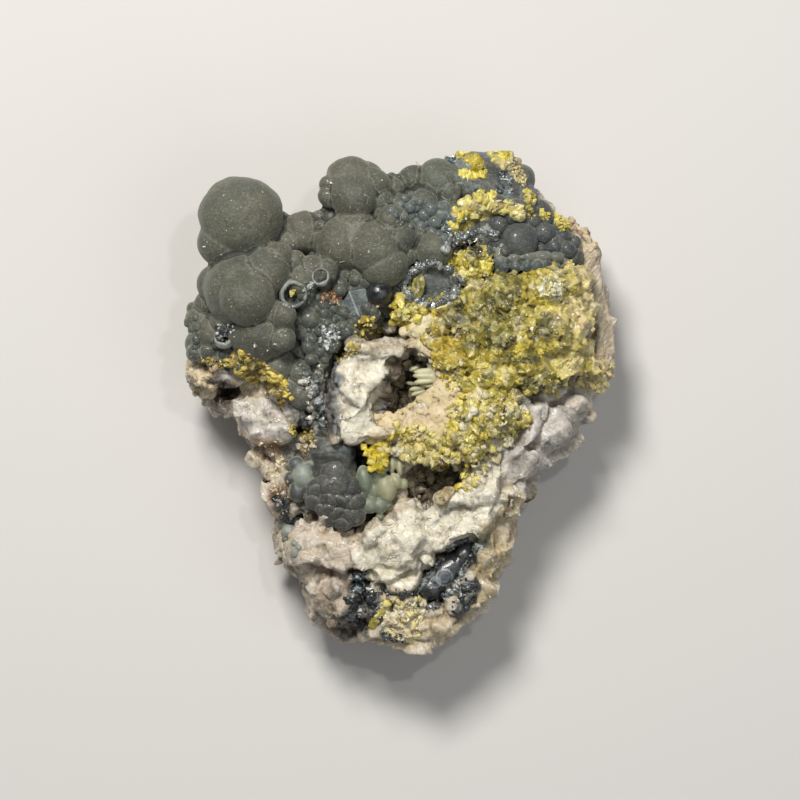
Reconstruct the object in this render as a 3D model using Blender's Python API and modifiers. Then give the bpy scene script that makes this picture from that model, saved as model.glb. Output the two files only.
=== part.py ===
"""Plumbogummite specimen: grey botryoidal and yellow granular crusts grown on a block of quartz.

Metres, +Z up. The specimen lies on its sawn back with the crystal side facing up. X runs across its
width and Y along its length, toward the broad end that carries the crusts. The origin is the middle
of the underside of its box. Lengths below are in millimetres and are scaled once, by MM.
"""
import math
import random

import bmesh
import bpy
from mathutils import Euler, Matrix, Vector

MM = 0.001
GAP = 0.45            # free space kept between touching growths, before their skins are evened
FINE = 0.4            # spacing of the even skin that fuses a piece's forms
SEED = 41
SAW_DEPTH = 1.0       # rock below the sawn back, removed by the saw
# The free space at some places, as a multiple of GAP.
CORE_GAP = 1.3        # beside the main block of rock
LUMP_GAP = 1.2        # around the small lumps of rock
BALL_GAP = 1.1        # around the grey balls and swells
LINING_GAP = 1.6      # behind the crystal crusts of the hollows

# How many triangles each piece is thinned to.
TRIANGLES = {
    "quartz_matrix": 2500,
    "plumbogummite_crust": 3500,
    "lower_crust": 850,
    "yellow_crust": 1700,
    "yellow_nugget": 60,
    "black_lens": 160,
    "upper_vug_crystals": 420,
    "lower_vug_crystals": 320,
}

# The block of rock: its widest outline, seen from above, clockwise from the top end.
OUTLINE = [
    (7.3, 34.4), (14.0, 35.0), (16.8, 32.5), (18.2, 29.7), (20.7, 27.3), (24.1, 25.2), (27.2, 21.8),
    (27.9, 18.1), (29.0, 14.4), (30.6, 9.2), (30.2, 5.6), (29.4, 2.8), (26.3, 0.4), (25.3, -2.7),
    (23.8, -5.5), (20.7, -7.4), (18.8, -10.9), (17.1, -13.7), (16.2, -17.9), (15.1, -22.1),
    (13.4, -25.9), (10.5, -30.0), (6.7, -33.2), (2.8, -35.3), (-0.6, -34.4), (-4.5, -33.6),
    (-9.7, -32.8), (-12.2, -30.4), (-12.9, -27.4), (-15.0, -23.2), (-17.8, -18.5), (-16.9, -15.0),
    (-18.5, -11.8), (-20.4, -8.1), (-20.2, -5.9), (-24.2, -1.1), (-27.2, 0.6), (-29.2, 2.7),
    (-29.2, 5.6), (-28.0, 9.4), (-25.8, 14.8), (-23.0, 19.6), (-16.8, 22.7), (-9.8, 25.2),
    (-2.1, 29.0), (3.5, 32.2),
]
# How the outline shrinks, shifts and roughens from the flat sawn back to the shelf under the crusts:
# height, scale, shift in x, shift in y, roughness.
RINGS = [
    (0.0, 0.75, -0.8, 1.0, 0.5),
    (1.2, 0.81, -0.6, 0.8, 0.7),
    (3.4, 0.88, -0.3, 0.5, 0.7),
    (6.0, 0.955, -0.1, 0.1, 0.6),
    (8.6, 1.0, 0.0, 0.0, 0.0),
    (11.4, 0.975, -0.2, 0.1, 0.4),
    (14.0, 0.93, -0.7, 0.2, 0.3),
]
# Ledges where the rock broke along its sides: how many, their reach, and how far in they sit.
SIDE_LEDGES = 11
LEDGE_REACH = (5.0, 8.0)
LEDGE_INSET = 0.76
LEDGE_FOOT = 0.72     # size of a ledge's foot against its top, which makes it lean out
LEDGE_CORNERS = 6
LEDGE_SKEW = 0.3      # how far a corner strays from its even place, in steps
LEDGE_ARMS = (0.75, 1.0)      # length of each corner's arm against the ledge's reach
LEDGE_BOTTOMS = (0.4, 3.0)
LEDGE_TOPS = (6.0, 12.5)
LEDGE_SLOPES = (-0.3, 0.3)
LEDGE_EDGES = (0.8, 1.6)
# How a block's top is broken.
SHOULDER_DROP = 1.4   # how far the shoulder lies below the top, against the broken edge
TOP_ROUGHNESS = 0.3   # how far a corner strays up or down
LEVEL_STEP = 0.5      # least height from the foot to the shoulder, and from there to the top
LEAST_SHRINK = 0.2    # least size of an outline that is drawn in, against its own

# Broken blocks of quartz that stand on the shelf. Each has its outline, the height of its foot, the
# height of its top at its middle, the slope of the top along x and y, and the size of its broken edge.
BLOCKS = {
    "bed_under_grey_crust": (
        [(-26.5, 9.5), (-23.5, 14.5), (-19.0, 20.5), (-10.0, 24.0), (-2.0, 27.5), (3.5, 30.5),
         (5.5, 22.5), (3.0, 14.5), (-8.5, 7.0), (-14.0, 0.5), (-22.5, 1.0), (-26.5, 2.5)],
        9.0, 17.5, (0.0, 0.0), 1.2),
    "bed_under_yellow_crust": (
        [(3.5, 31.5), (7.5, 33.0), (13.5, 33.0), (16.5, 30.5), (19.5, 26.5), (25.0, 21.0),
         (26.0, 15.5), (25.5, 7.5), (22.0, 2.5), (11.0, 0.5), (3.0, 10.0), (2.5, 21.5)],
        9.0, 16.6, (-0.05, -0.04), 1.4),
    "centre_block": (
        [(-8.5, 6.0), (-1.0, 6.5), (-0.5, 4.0), (-3.0, -1.5), (-0.5, -5.5), (-6.5, -5.5),
         (-9.0, -4.0), (-9.5, 1.5)],
        12.0, 24.0, (0.12, 0.03), 0.7),
    "ledge": (
        [(-7.5, 8.5), (-0.5, 8.5), (0.5, 6.0), (-7.5, 5.5)],
        15.0, 25.2, (0.02, 0.10), 0.5),
    "vug_rim": (
        [(0.0, 9.4), (5.0, 9.6), (9.5, 1.5), (12.5, -4.5), (9.0, -7.0), (4.0, -7.5), (-2.0, -6.0),
         (-4.0, -2.0)],
        12.0, 21.8, (-0.03, 0.06), 1.2),
    "lower_block": (
        [(-7.0, -20.8), (-4.2, -17.6), (0.5, -14.8), (6.0, -13.8), (11.0, -10.8), (14.6, -9.6),
         (14.0, -14.5), (11.0, -20.0), (7.0, -20.6), (4.0, -22.4), (-0.5, -23.2), (-5.4, -22.6)],
        12.0, 20.8, (-0.02, 0.13), 0.8),
    "second_lower_block": (
        [(-5.0, -22.5), (3.0, -22.0), (3.5, -24.5), (2.0, -26.5), (-2.5, -26.5), (-5.0, -26.0)],
        12.0, 19.4, (0.0, 0.12), 0.7),
    "right_slope": (
        [(17.5, 3.5), (26.6, 1.8), (26.0, -2.0), (24.0, -5.4), (20.5, -7.6), (16.5, -11.0),
         (14.0, -8.5), (13.5, -1.0)],
        8.0, 17.8, (-0.62, 0.12), 0.8),
    "middle_slope": (
        [(9.0, -2.0), (19.5, 1.5), (20.0, -6.0), (17.4, -12.0), (15.5, -15.5), (11.0, -13.0),
         (9.5, -8.0)],
        8.0, 20.0, (-0.42, 0.14), 0.9),
    "beige_strip": (
        [(9.5, -13.5), (16.4, -13.5), (15.6, -19.5), (14.2, -24.0), (11.0, -29.0), (7.0, -32.4),
         (6.5, -29.5), (9.5, -25.5), (11.0, -20.0)],
        8.0, 16.8, (-0.30, 0.12), 0.8),
    "tip": (
        [(-4.0, -25.4), (2.6, -26.0), (5.0, -28.0), (7.4, -31.5), (3.0, -34.2), (-0.5, -33.8),
         (-5.0, -32.8), (-6.5, -29.5)],
        8.0, 17.2, (0.03, 0.20), 0.9),
    "left_quartz": (
        [(-14.0, -16.0), (-10.0, -15.5), (-6.5, -20.0), (-7.5, -23.5), (-12.5, -24.0),
         (-15.0, -20.5)],
        8.0, 19.4, (0.22, 0.02), 0.8),
    "lower_left_quartz": (
        [(-14.0, -23.0), (-7.5, -22.5), (-5.5, -27.5), (-9.0, -31.5), (-11.6, -29.5)],
        8.0, 17.4, (0.25, 0.10), 0.8),
    "left_shelf": (
        [(-23.0, 0.0), (-17.0, 2.0), (-14.5, -2.0), (-15.5, -5.5), (-19.5, -5.5), (-22.5, -2.5)],
        8.0, 18.4, (0.10, 0.08), 0.7),
    "striated_step": (
        [(-14.5, 0.5), (-7.5, 2.5), (-7.0, -4.0), (-13.0, -5.5)],
        8.0, 19.4, (-0.05, 0.05), 0.6),
    "left_neck": (
        [(-17.6, -4.5), (-8.0, -4.0), (-7.0, -16.0), (-13.5, -16.5), (-16.4, -15.0),
         (-17.6, -11.0)],
        8.0, 16.2, (0.10, 0.05), 0.9),
    "right_wall": (
        [(24.0, 19.0), (27.0, 17.5), (28.2, 14.0), (29.8, 9.0), (29.4, 5.5), (28.2, 2.8),
         (24.0, 1.0), (22.0, 10.0)],
        6.0, 14.8, (-0.75, 0.05), 0.8),
    "top_right_corner": (
        [(20.0, 27.0), (23.0, 25.2), (26.0, 22.0), (26.8, 19.0), (25.0, 17.0), (20.0, 19.5)],
        6.0, 15.8, (-0.30, 0.10), 0.9),
    "right_of_fingers": (
        [(-1.0, -6.5), (9.5, -6.0), (10.0, -16.0), (-1.0, -16.5), (-4.0, -11.0)],
        12.0, 18.3, (0.12, 0.0), 0.8),
}
# Round lumps of the rock: x, y, z, radius.
LUMPS = [
    (-28.0, 3.6, 12.6, 2.1), (-26.2, 2.0, 13.4, 2.0), (-28.2, 5.8, 13.0, 1.7), (-24.6, 1.4, 14.0, 1.9),
    (-19.6, -8.0, 13.6, 1.7), (-17.6, -9.8, 14.6, 1.6), (-18.4, -6.6, 15.0, 1.5),
    (-16.8, -15.4, 13.8, 1.4), (-15.4, -18.4, 14.0, 1.4), (-14.6, -21.2, 13.6, 1.0),
    (17.4, 11.6, 20.0, 1.6), (-9.6, -27.6, 16.0, 1.8), (26.4, 20.6, 13.6, 1.8), (27.0, 14.0, 13.2, 1.9),
]
# Hollows: outline of the mouth, height of the mouth, height of the floor, size of the floor
# against the mouth.
UPPER_VUG = ([(-4.2, -1.6), (-3.0, 3.4), (-1.4, 6.0), (2.0, 7.0), (5.0, 6.0), (6.0, 2.4), (4.0, 0.0),
              (0.8, -2.2), (-2.4, -3.0)], 21.4, 10.5, 0.9)
LOWER_VUG = ([(0.0, -11.0), (1.6, -8.8), (5.6, -7.8), (9.2, -9.0), (9.8, -12.2), (7.8, -14.8),
              (3.6, -15.8), (0.6, -14.6)], 18.2, 10.4, 0.9)
END_HOLLOW = ([(-9.8, -30.8), (-7.0, -29.0), (-4.0, -30.2), (-4.6, -32.4), (-8.2, -33.0)],
              16.5, 12.2, 0.7)
LEFT_HOLLOW = ([(-27.2, 2.4), (-24.4, 3.4), (-22.8, 1.8), (-23.6, 0.0), (-26.0, 0.2)],
               17.0, 11.5, 0.75)
MOUTH_RISE = 9.0      # how far a hollow's walls run straight up past its mouth
FLOOR_CHAMFER = 1.2   # height at which a hollow starts to round in to its floor
FLOOR_SHARE = 0.6     # size of a hollow's floor against its outline at the chamfer
VUG_WALL = 0.7        # thickness of the crystal crust that lines the lower part of a vug
LINING_MOUTH = 3.0    # how far the space inside the crust runs up past its rim
UPPER_VUG_RIM = 15.8  # heights to which the crystal crusts reach
LOWER_VUG_RIM = 14.4
CRYSTAL_WIDTH = 1.1
# The crystals on a hollow's wall, in rows above its floor.
FIRST_ROW = 2.4
ROW_STEP = 1.5
ROW_STRAY = 0.3       # how far a crystal's foot strays up or down
CRYSTAL_SIZES = (0.75, 1.15)  # width against the usual one
CRYSTAL_LENGTH = 1.9  # length against the width
CRYSTAL_RISE = 1.6    # how steeply a crystal points up as it points in
CRYSTAL_SINK = 0.3    # how deep its foot is set, against the width
TIP_FOOT = 0.5        # how far below the end its point starts, against the width
TIP_HEIGHT = 0.7      # height of its point, against the width

# Balls of the grey crust: x, y, z, radius.
GREY_BALLS = [
    (-22.0, 25.3, 20.5, 5.9), (-23.7, 22.8, 20.0, 4.5), (-21.0, 22.7, 22.0, 3.8),
    (-25.1, 16.7, 20.5, 2.8), (-21.7, 15.4, 22.5, 5.2), (-21.0, 14.4, 27.2, 3.4),
    (-16.7, 20.3, 23.5, 2.0), (-14.4, 19.5, 22.5, 1.5), (-18.1, 18.1, 24.5, 2.9),
    (-12.3, 17.1, 21.5, 2.9), (-10.9, 17.2, 24.2, 1.3), (-18.5, 9.8, 22.0, 4.6),
    (-16.4, 8.8, 26.2, 2.0), (-16.0, 11.9, 25.8, 1.9), (-12.5, 11.6, 23.0, 1.5),
    (-14.3, 4.3, 21.5, 1.8), (-15.3, 2.0, 20.3, 1.7), (-13.6, 1.5, 20.2, 2.0),
    (-27.4, 12.0, 18.5, 2.2), (-27.2, 7.8, 17.5, 2.4), (-25.2, 7.0, 18.5, 2.0),
    (-13.3, 23.2, 18.5, 3.6), (-11.6, 25.2, 18.5, 1.6), (-6.9, 30.4, 19.0, 3.8),
    (-6.6, 28.6, 21.5, 3.5), (-4.1, 30.1, 19.0, 3.1), (-9.4, 30.0, 20.0, 1.8),
    (-9.5, 28.0, 20.5, 1.7), (-8.7, 22.5, 21.0, 2.8), (-4.1, 21.3, 23.0, 3.6),
    (-0.8, 24.4, 22.5, 2.5), (-0.6, 22.3, 24.0, 2.4), (-1.3, 19.3, 23.5, 2.5),
    (-6.4, 19.3, 21.0, 2.2), (-3.9, 17.6, 22.5, 2.0), (5.2, 30.5, 17.5, 3.4),
    (1.7, 30.0, 17.5, 3.4), (-0.3, 29.3, 17.5, 2.4), (4.3, 21.6, 20.5, 2.7),
    (-8.0, 16.5, 22.0, 1.8), (-2.7, 15.0, 21.5, 1.5), (-21.5, 5.6, 19.4, 2.6),
    (-17.0, 5.2, 20.0, 2.4), (-23.6, 10.4, 19.0, 2.6), (-14.6, 14.4, 20.6, 2.6),
    (-5.6, 24.6, 19.6, 2.8), (1.4, 26.2, 19.4, 2.6), (-9.6, 20.0, 19.4, 2.6),
    (-3.0, 26.6, 19.6, 2.4), (3.0, 25.0, 18.6, 2.4),
    (-0.3, 28.6, 20.0, 1.4), (3.2, 28.0, 20.0, 1.8), (6.9, 29.1, 20.5, 1.5), (1.5, 27.0, 21.5, 1.1),
    (5.7, 27.4, 19.5, 1.3), (7.3, 26.3, 19.0, 1.3), (-11.2, 7.0, 19.8, 1.5), (-9.1, 8.0, 19.2, 1.7),
    (-11.5, 9.8, 19.8, 1.8), (-9.9, 12.2, 20.4, 1.9), (-11.1, 5.0, 19.2, 1.8),
    (-9.4, 14.3, 21.0, 1.8), (-7.7, 19.6, 20.5, 1.3), (-5.3, 15.7, 20.6, 1.8),
    (-6.6, 11.6, 19.4, 1.9), (-12.9, 7.4, 20.5, 1.2), (-4.0, 11.6, 19.0, 1.8), (-1.4, 12.2, 19.2, 1.8),
]
# Low swells under the balls, which close the crust between them: x, y, z, three half-lengths, turn.
CRUST_SWELLS = [
    (-19.5, 11.5, 18.0, 7.0, 8.5, 3.4, 0), (-9.0, 13.0, 17.6, 7.0, 5.5, 2.6, 0),
    (-13.5, 5.5, 17.6, 4.5, 5.0, 2.4, 0), (-6.0, 23.5, 18.2, 8.0, 5.5, 3.0, 15),
    (6.5, 26.0, 16.8, 8.0, 5.0, 2.4, 10), (14.5, 24.8, 15.8, 6.0, 4.6, 2.4, -35),
    (5.5, 18.0, 17.6, 5.5, 5.0, 2.4, 0), (12.5, 20.0, 17.2, 5.0, 3.5, 2.4, 0),
    (14.0, 19.6, 18.8, 1.4, 3.0, 1.6, 0), (-1.0, 14.6, 18.0, 3.6, 3.0, 2.2, 0),
]
# Beads of the two glossy rims between the grey and the yellow crust: x, y, z, radius.
RIM_BEADS = [
    (0.7, 16.4, 20.0, 1.2), (1.7, 17.8, 20.2, 1.2), (3.9, 18.5, 20.3, 1.2), (6.3, 17.8, 20.3, 1.3),
    (7.8, 16.0, 20.1, 1.2), (6.7, 14.3, 20.2, 1.2), (4.2, 13.9, 20.4, 1.2), (1.7, 14.3, 20.2, 1.1),
    (7.0, 22.0, 19.8, 1.2), (10.0, 23.0, 19.8, 1.2), (12.9, 23.4, 19.6, 1.1), (13.3, 21.3, 19.6, 1.1),
]
# Blue-grey balls of the same crust, at the upper right.
BLUE_BALLS = [
    (16.1, 23.0, 17.5, 3.1), (13.6, 21.3, 18.6, 2.0), (19.6, 21.0, 17.3, 2.5), (22.6, 21.3, 16.6, 2.3),
    (15.4, 29.7, 16.8, 2.8), (11.9, 30.7, 17.8, 2.2), (9.5, 32.4, 17.0, 2.6), (13.6, 32.3, 16.6, 2.5),
    (7.6, 31.4, 17.6, 1.8), (18.0, 27.2, 16.4, 2.1), (20.6, 24.8, 16.2, 2.1),
    (11.2, 26.2, 18.8, 2.4), (8.4, 24.4, 19.4, 1.9), (14.7, 26.2, 18.2, 1.9), (5.6, 24.6, 19.4, 1.8),
    (9.4, 28.6, 18.0, 2.2),
    (5.4, 18.8, 19.6, 1.9), (11.6, 23.6, 18.4, 2.0), (18.8, 18.9, 18.8, 1.6), (21.2, 19.0, 18.4, 1.6),
    (7.6, 21.4, 18.8, 1.8),
]

# The yellow granular crust: the swells it is heaped into, x, y, z, radius.
YELLOW_SWELLS = [
    (7.6, 11.2, 20.2, 2.9), (10.9, 13.4, 20.2, 3.1), (15.1, 14.3, 20.6, 3.4), (20.3, 15.2, 20.4, 3.1),
    (23.6, 15.4, 18.6, 2.2), (23.6, 11.5, 18.6, 3.0), (20.2, 10.1, 20.4, 3.9), (15.1, 8.7, 21.4, 3.9),
    (9.8, 6.6, 21.2, 3.0), (17.5, 4.2, 20.4, 3.2), (12.6, 2.8, 21.2, 3.1), (22.2, 5.6, 18.6, 2.8),
    (10.4, -2.2, 22.0, 2.3), (14.2, -1.2, 21.0, 2.5), (25.0, 6.6, 16.4, 2.3), (10.2, 10.0, 20.6, 3.0),
    (5.6, 12.6, 20.2, 2.0), (4.6, 8.6, 21.8, 1.8), (6.9, 5.6, 22.0, 2.0), (26.6, 4.4, 14.8, 1.9),
    (9.0, -5.0, 22.0, 1.8), (12.0, 0.2, 21.6, 2.6), (1.6, 12.6, 20.6, 1.7), (19.2, 17.6, 18.8, 1.9),
    (9.2, 19.0, 20.0, 2.0), (24.4, 17.6, 17.6, 1.7),
]
GRAINS = 96           # flat-faced crystals standing out of the yellow crust
GRAIN_SIZE = (0.7, 1.3)
GRAIN_WIDTH = 1.3     # width of a crystal against its size
GRAIN_SINK = 0.25     # how deep a crystal's middle lies under the swell's skin
GRAIN_LEAN = (0.05, 1.15)     # how far from upright they stand out, in radians
GREY_NEAR_YELLOW = -8.0       # grey balls farther to the left than this lie clear of the yellow crust
YELLOW_NUGGET = ([(-4.9, -6.6), (-4.0, -5.9), (-1.6, -5.6), (-0.6, -5.9), (-1.6, -8.0), (-2.6, -9.4),
                  (-3.9, -9.4)], 19.9, 23.6, (0.0, 0.1), 0.6)
# The lower crust: domes, lobes and fingers, x, y, z, three half-lengths, turn about z in degrees.
LOWER_LOBES = [
    (-9.6, -6.8, 18.0, 3.6, 3.4, 2.8, 0), (-9.2, -9.8, 18.0, 3.4, 2.8, 2.5, 10),
    (-7.4, -6.6, 20.6, 0.9, 0.9, 0.9, 0), (-11.6, -5.0, 18.2, 1.9, 1.7, 1.9, 0),
    (-8.6, -12.4, 18.6, 3.2, 3.0, 2.6, 20), (-11.6, -13.4, 18.8, 1.8, 1.7, 1.7, 0),
    (-9.4, -13.2, 20.3, 1.6, 1.4, 1.4, 0), (-7.2, -15.2, 18.8, 2.6, 2.5, 2.2, 0),
    (-9.2, -15.4, 19.4, 1.5, 1.4, 1.4, 0), (-5.2, -12.2, 18.2, 1.8, 2.4, 2.2, 5),
    (-4.8, -10.6, 19.6, 1.1, 2.0, 1.5, 8), (-3.4, -10.4, 20.0, 0.9, 1.7, 1.3, -6),
    (-1.9, -12.0, 19.4, 1.6, 2.1, 1.7, 12), (-0.8, -8.9, 20.4, 1.0, 2.1, 1.5, -10),
    (0.6, -8.7, 20.3, 0.9, 1.5, 1.4, 14), (-3.2, -9.6, 18.6, 2.6, 1.8, 1.6, 0),
    (-4.2, -14.4, 18.8, 1.7, 1.4, 1.4, 0), (-2.8, -14.2, 18.8, 1.3, 1.2, 1.2, 0),
    (-13.2, -10.4, 17.8, 1.7, 2.2, 1.6, 0), (-14.6, -9.0, 17.6, 1.5, 1.5, 1.3, 0),
    (-12.6, -7.6, 17.4, 2.0, 2.0, 1.5, 0), (-14.2, -12.6, 17.2, 1.4, 1.7, 1.3, 0),
]
# The glossy black lens and the two low domes on it: same seven numbers. It lies in a hollow of its own.
LENS = [(6.4, -23.8, 16.0, 5.8, 2.0, 2.0, 47), (6.2, -24.4, 17.2, 1.2, 1.1, 1.0, 47),
        (4.8, -25.0, 16.9, 0.9, 0.9, 0.9, 47)]
LENS_CLEARANCE = 0.7
LENS_CORNERS = 12     # corners of the lens's hollow
LENS_MOUTH = 0.5      # how far the hollow's mouth lies below the lens's middle, against its half-height
LENS_FLOOR = 0.9      # size of the hollow's floor against its mouth
FINE_BALL = 3.3       # least radius of a ball that gets the finer facets
BALL_TURN = (0.7, 0.9, 1.1)   # how much a ball turns about each axis for each millimetre along it


def make_collection(name):
    """A new collection in the scene."""
    collection = bpy.data.collections.new(name)
    bpy.context.scene.collection.children.link(collection)
    return collection


def make_object(name, mesh_builder, collection):
    """An object whose mesh is the bmesh given, scaled from millimetres to metres."""
    bmesh.ops.scale(mesh_builder, vec=(MM, MM, MM), verts=mesh_builder.verts)
    mesh = bpy.data.meshes.new(name)
    mesh_builder.to_mesh(mesh)
    mesh_builder.free()
    made = bpy.data.objects.new(name, mesh)
    collection.objects.link(made)
    return made


def hide_as_cutter(made):
    """Mark an object as a helper that is cut with or joined in, and not a piece itself."""
    made.hide_render = True
    made.display_type = "WIRE"


def hull(points):
    """The closed convex solid around the points."""
    builder = bmesh.new()
    for point in points:
        builder.verts.new(point)
    result = bmesh.ops.convex_hull(builder, input=builder.verts)
    inside = dict.fromkeys(result["geom_interior"] + result["geom_unused"])
    spare = [item for item in inside if isinstance(item, bmesh.types.BMVert)]
    bmesh.ops.delete(builder, geom=spare, context="VERTS")
    bmesh.ops.recalc_face_normals(builder, faces=builder.faces)
    return builder


def grown(points, gap):
    """Points whose hull reaches at least the gap past the hull of the ones given."""
    corners = [Vector((sx, sy, sz)) * gap for sx in (-1, 1) for sy in (-1, 1) for sz in (-1, 1)]
    return [Vector(point) + corner for point in points for corner in corners]


def middle_of(outline):
    """The mean of an outline's points."""
    count = len(outline)
    return Vector((sum(p[0] for p in outline) / count, sum(p[1] for p in outline) / count))


def shrink(outline, amount):
    """An outline drawn in toward its middle by a length."""
    middle = middle_of(outline)
    drawn_in = []
    for point in outline:
        arm = Vector(point) - middle
        drawn_in.append(middle + arm * max(LEAST_SHRINK, (arm.length - amount) / arm.length))
    return drawn_in


def block_points(outline, foot, top, slope, edge, seed, foot_scale=1.0):
    """The corners of a broken block: its foot, its shoulder and its sloping, uneven top."""
    draw = random.Random(seed)
    middle = middle_of(outline)
    feet = [middle + (Vector(point) - middle) * foot_scale for point in outline]
    points = [(point.x, point.y, foot) for point in feet]
    for level, drawn_in, sink in ((1, 0.0, edge * SHOULDER_DROP), (2, edge, 0.0)):
        for point in shrink(outline, drawn_in):
            rise = slope[0] * (point.x - middle.x) + slope[1] * (point.y - middle.y)
            rough = draw.uniform(-TOP_ROUGHNESS, TOP_ROUGHNESS)
            height = max(foot + LEVEL_STEP * level, top + rise - sink + rough)
            points.append((point.x, point.y, height))
    return points


def pit_points(outline, mouth, floor, floor_scale, straight=0.0):
    """The corners of a hollow that narrows toward its floor, and runs straight past its mouth."""
    middle = middle_of(outline)
    points = [(x, y, mouth + rise) for x, y in outline for rise in (0.0, straight)]
    for x, y in outline:
        low = middle + (Vector((x, y)) - middle) * floor_scale
        points.append((low.x, low.y, floor + FLOOR_CHAMFER))
        deep = middle + (Vector((x, y)) - middle) * floor_scale * FLOOR_SHARE
        points.append((deep.x, deep.y, floor))
    return points


def ball(x, y, z, radius, detail=None, gap=0.0):
    """A faceted ball, turned by a rule so that no two neighbours' facets line up."""
    if detail is None:
        detail = 3 if radius >= FINE_BALL else 2
    builder = bmesh.new()
    bmesh.ops.create_icosphere(builder, subdivisions=detail, radius=radius + gap)
    turns = [rate * part for rate, part in zip(BALL_TURN, (x, y, z))]
    turn = Euler(turns).to_matrix().to_4x4()
    bmesh.ops.transform(builder, matrix=Matrix.Translation((x, y, z)) @ turn, verts=builder.verts)
    return builder


def lobe(x, y, z, half_x, half_y, half_z, turn, detail=2, gap=0.0):
    """A rounded lobe with three half-lengths, turned about z."""
    builder = bmesh.new()
    bmesh.ops.create_icosphere(builder, subdivisions=detail, radius=1.0)
    place = Matrix.Translation((x, y, z)) @ Matrix.Rotation(math.radians(turn), 4, "Z")
    size = Matrix.Diagonal((half_x + gap, half_y + gap, half_z + gap, 1.0))
    bmesh.ops.transform(builder, matrix=place @ size, verts=builder.verts)
    return builder


def crystal(base, direction, width, length, turn):
    """A six-sided crystal with a pointed end, standing on a point."""
    builder = bmesh.new()
    bmesh.ops.create_cone(builder, cap_ends=True, segments=6, radius1=width / 2,
                          radius2=width / 2, depth=length)
    tip = [vert for vert in builder.verts if vert.co.z > 0]
    for vert in tip:
        vert.co.z -= width * TIP_FOOT
    cap = [face for face in builder.faces if all(vert in tip for vert in face.verts)]
    poked = bmesh.ops.poke(builder, faces=cap)
    for vert in poked["verts"]:
        vert.co.z += width * TIP_HEIGHT
    aim = Vector(direction).to_track_quat("Z", "Y").to_matrix().to_4x4()
    spin = Matrix.Rotation(turn, 4, "Z")
    lift = Matrix.Translation((0.0, 0.0, length / 2 - width * CRYSTAL_SINK))
    place = Matrix.Translation(base) @ aim @ spin @ lift
    bmesh.ops.transform(builder, matrix=place, verts=builder.verts)
    return builder


def ring_points(scale, shift, rough, seed, gap):
    """One ring of the block's outline: scaled, shifted, roughened, and moved out by the gap."""
    draw = random.Random(seed)
    ring = []
    for x, y in OUTLINE:
        ring.append(Vector((x * scale + shift[0] + draw.uniform(-rough, rough),
                            y * scale + shift[1] + draw.uniform(-rough, rough))))
    count = len(ring)
    moved = []
    for index, point in enumerate(ring):
        along = ring[(index + 1) % count] - ring[index - 1]
        outward = Vector((-along.y, along.x)).normalized()
        moved.append(point + outward * gap)
    return moved


def core_builder(gap=0.0):
    """The main block of rock: rings of the outline joined from the sawn back to the shelf."""
    builder = bmesh.new()
    rows = []
    last = len(RINGS) - 1
    for level, (height, scale, shift_x, shift_y, rough) in enumerate(RINGS):
        lift = {0: -SAW_DEPTH, last: gap}.get(level, 0.0)
        ring = ring_points(scale, (shift_x, shift_y), rough, SEED + level, gap * CORE_GAP)
        rows.append([builder.verts.new((p.x, p.y, height + lift)) for p in ring])
    count = len(OUTLINE)
    for lower, upper in zip(rows, rows[1:]):
        for index in range(count):
            after = (index + 1) % count
            corners = (lower[index], lower[after], upper[after], upper[index])
            builder.faces.new(corners)
    builder.faces.new(rows[0])
    builder.faces.new(rows[-1])
    bmesh.ops.recalc_face_normals(builder, faces=builder.faces)
    bmesh.ops.triangulate(builder, faces=builder.faces)
    return builder


def join_and_cut(body, joined, cutters):
    """Union everything in one collection into a body, then cut the other collections away."""
    if joined is not None:
        join = body.modifiers.new("join", "BOOLEAN")
        join.operation = "UNION"
        join.operand_type = "COLLECTION"
        join.collection = joined
        join.solver = "EXACT"
    for collection in cutters:
        cut = body.modifiers.new("cut", "BOOLEAN")
        cut.operation = "DIFFERENCE"
        cut.operand_type = "COLLECTION"
        cut.collection = collection
        cut.solver = "EXACT"


def fix_mesh(body):
    """Turn the modifiers' result into the object's own mesh."""
    graph = bpy.context.evaluated_depsgraph_get()
    result = bpy.data.meshes.new_from_object(body.evaluated_get(graph))
    body.modifiers.clear()
    body.data = result


def face_islands(builder):
    """The groups of faces that hang together, largest first."""
    waiting = dict.fromkeys(builder.faces)
    islands = []
    while waiting:
        first = next(iter(waiting))
        del waiting[first]
        front = [first]
        island = []
        while front:
            face = front.pop()
            island.append(face)
            for edge in face.edges:
                for other in edge.link_faces:
                    if other in waiting:
                        del waiting[other]
                        front.append(other)
        islands.append(island)
    return sorted(islands, key=len, reverse=True)


def drop_crumbs(body):
    """Keep the main piece of a mesh, without the loose crumbs that the cuts left."""
    builder = bmesh.new()
    builder.from_mesh(body.data)
    bmesh.ops.triangulate(builder, faces=builder.faces)
    islands = face_islands(builder)
    crumbs = [face for island in islands[1:] for face in island]
    bmesh.ops.delete(builder, geom=crumbs, context="FACES")
    builder.to_mesh(body.data)
    builder.free()


def finish_piece(body, detail=FINE):
    """Fuse a piece's forms into one even skin, then thin it to its own number of triangles."""
    fix_mesh(body)
    skin = body.modifiers.new("skin", "REMESH")
    skin.mode = "VOXEL"
    skin.voxel_size = detail * MM
    fix_mesh(body)
    drop_crumbs(body)
    thin = body.modifiers.new("thin", "DECIMATE")
    thin.ratio = min(1.0, TRIANGLES[body.name] / len(body.data.polygons))
    fix_mesh(body)


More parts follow.
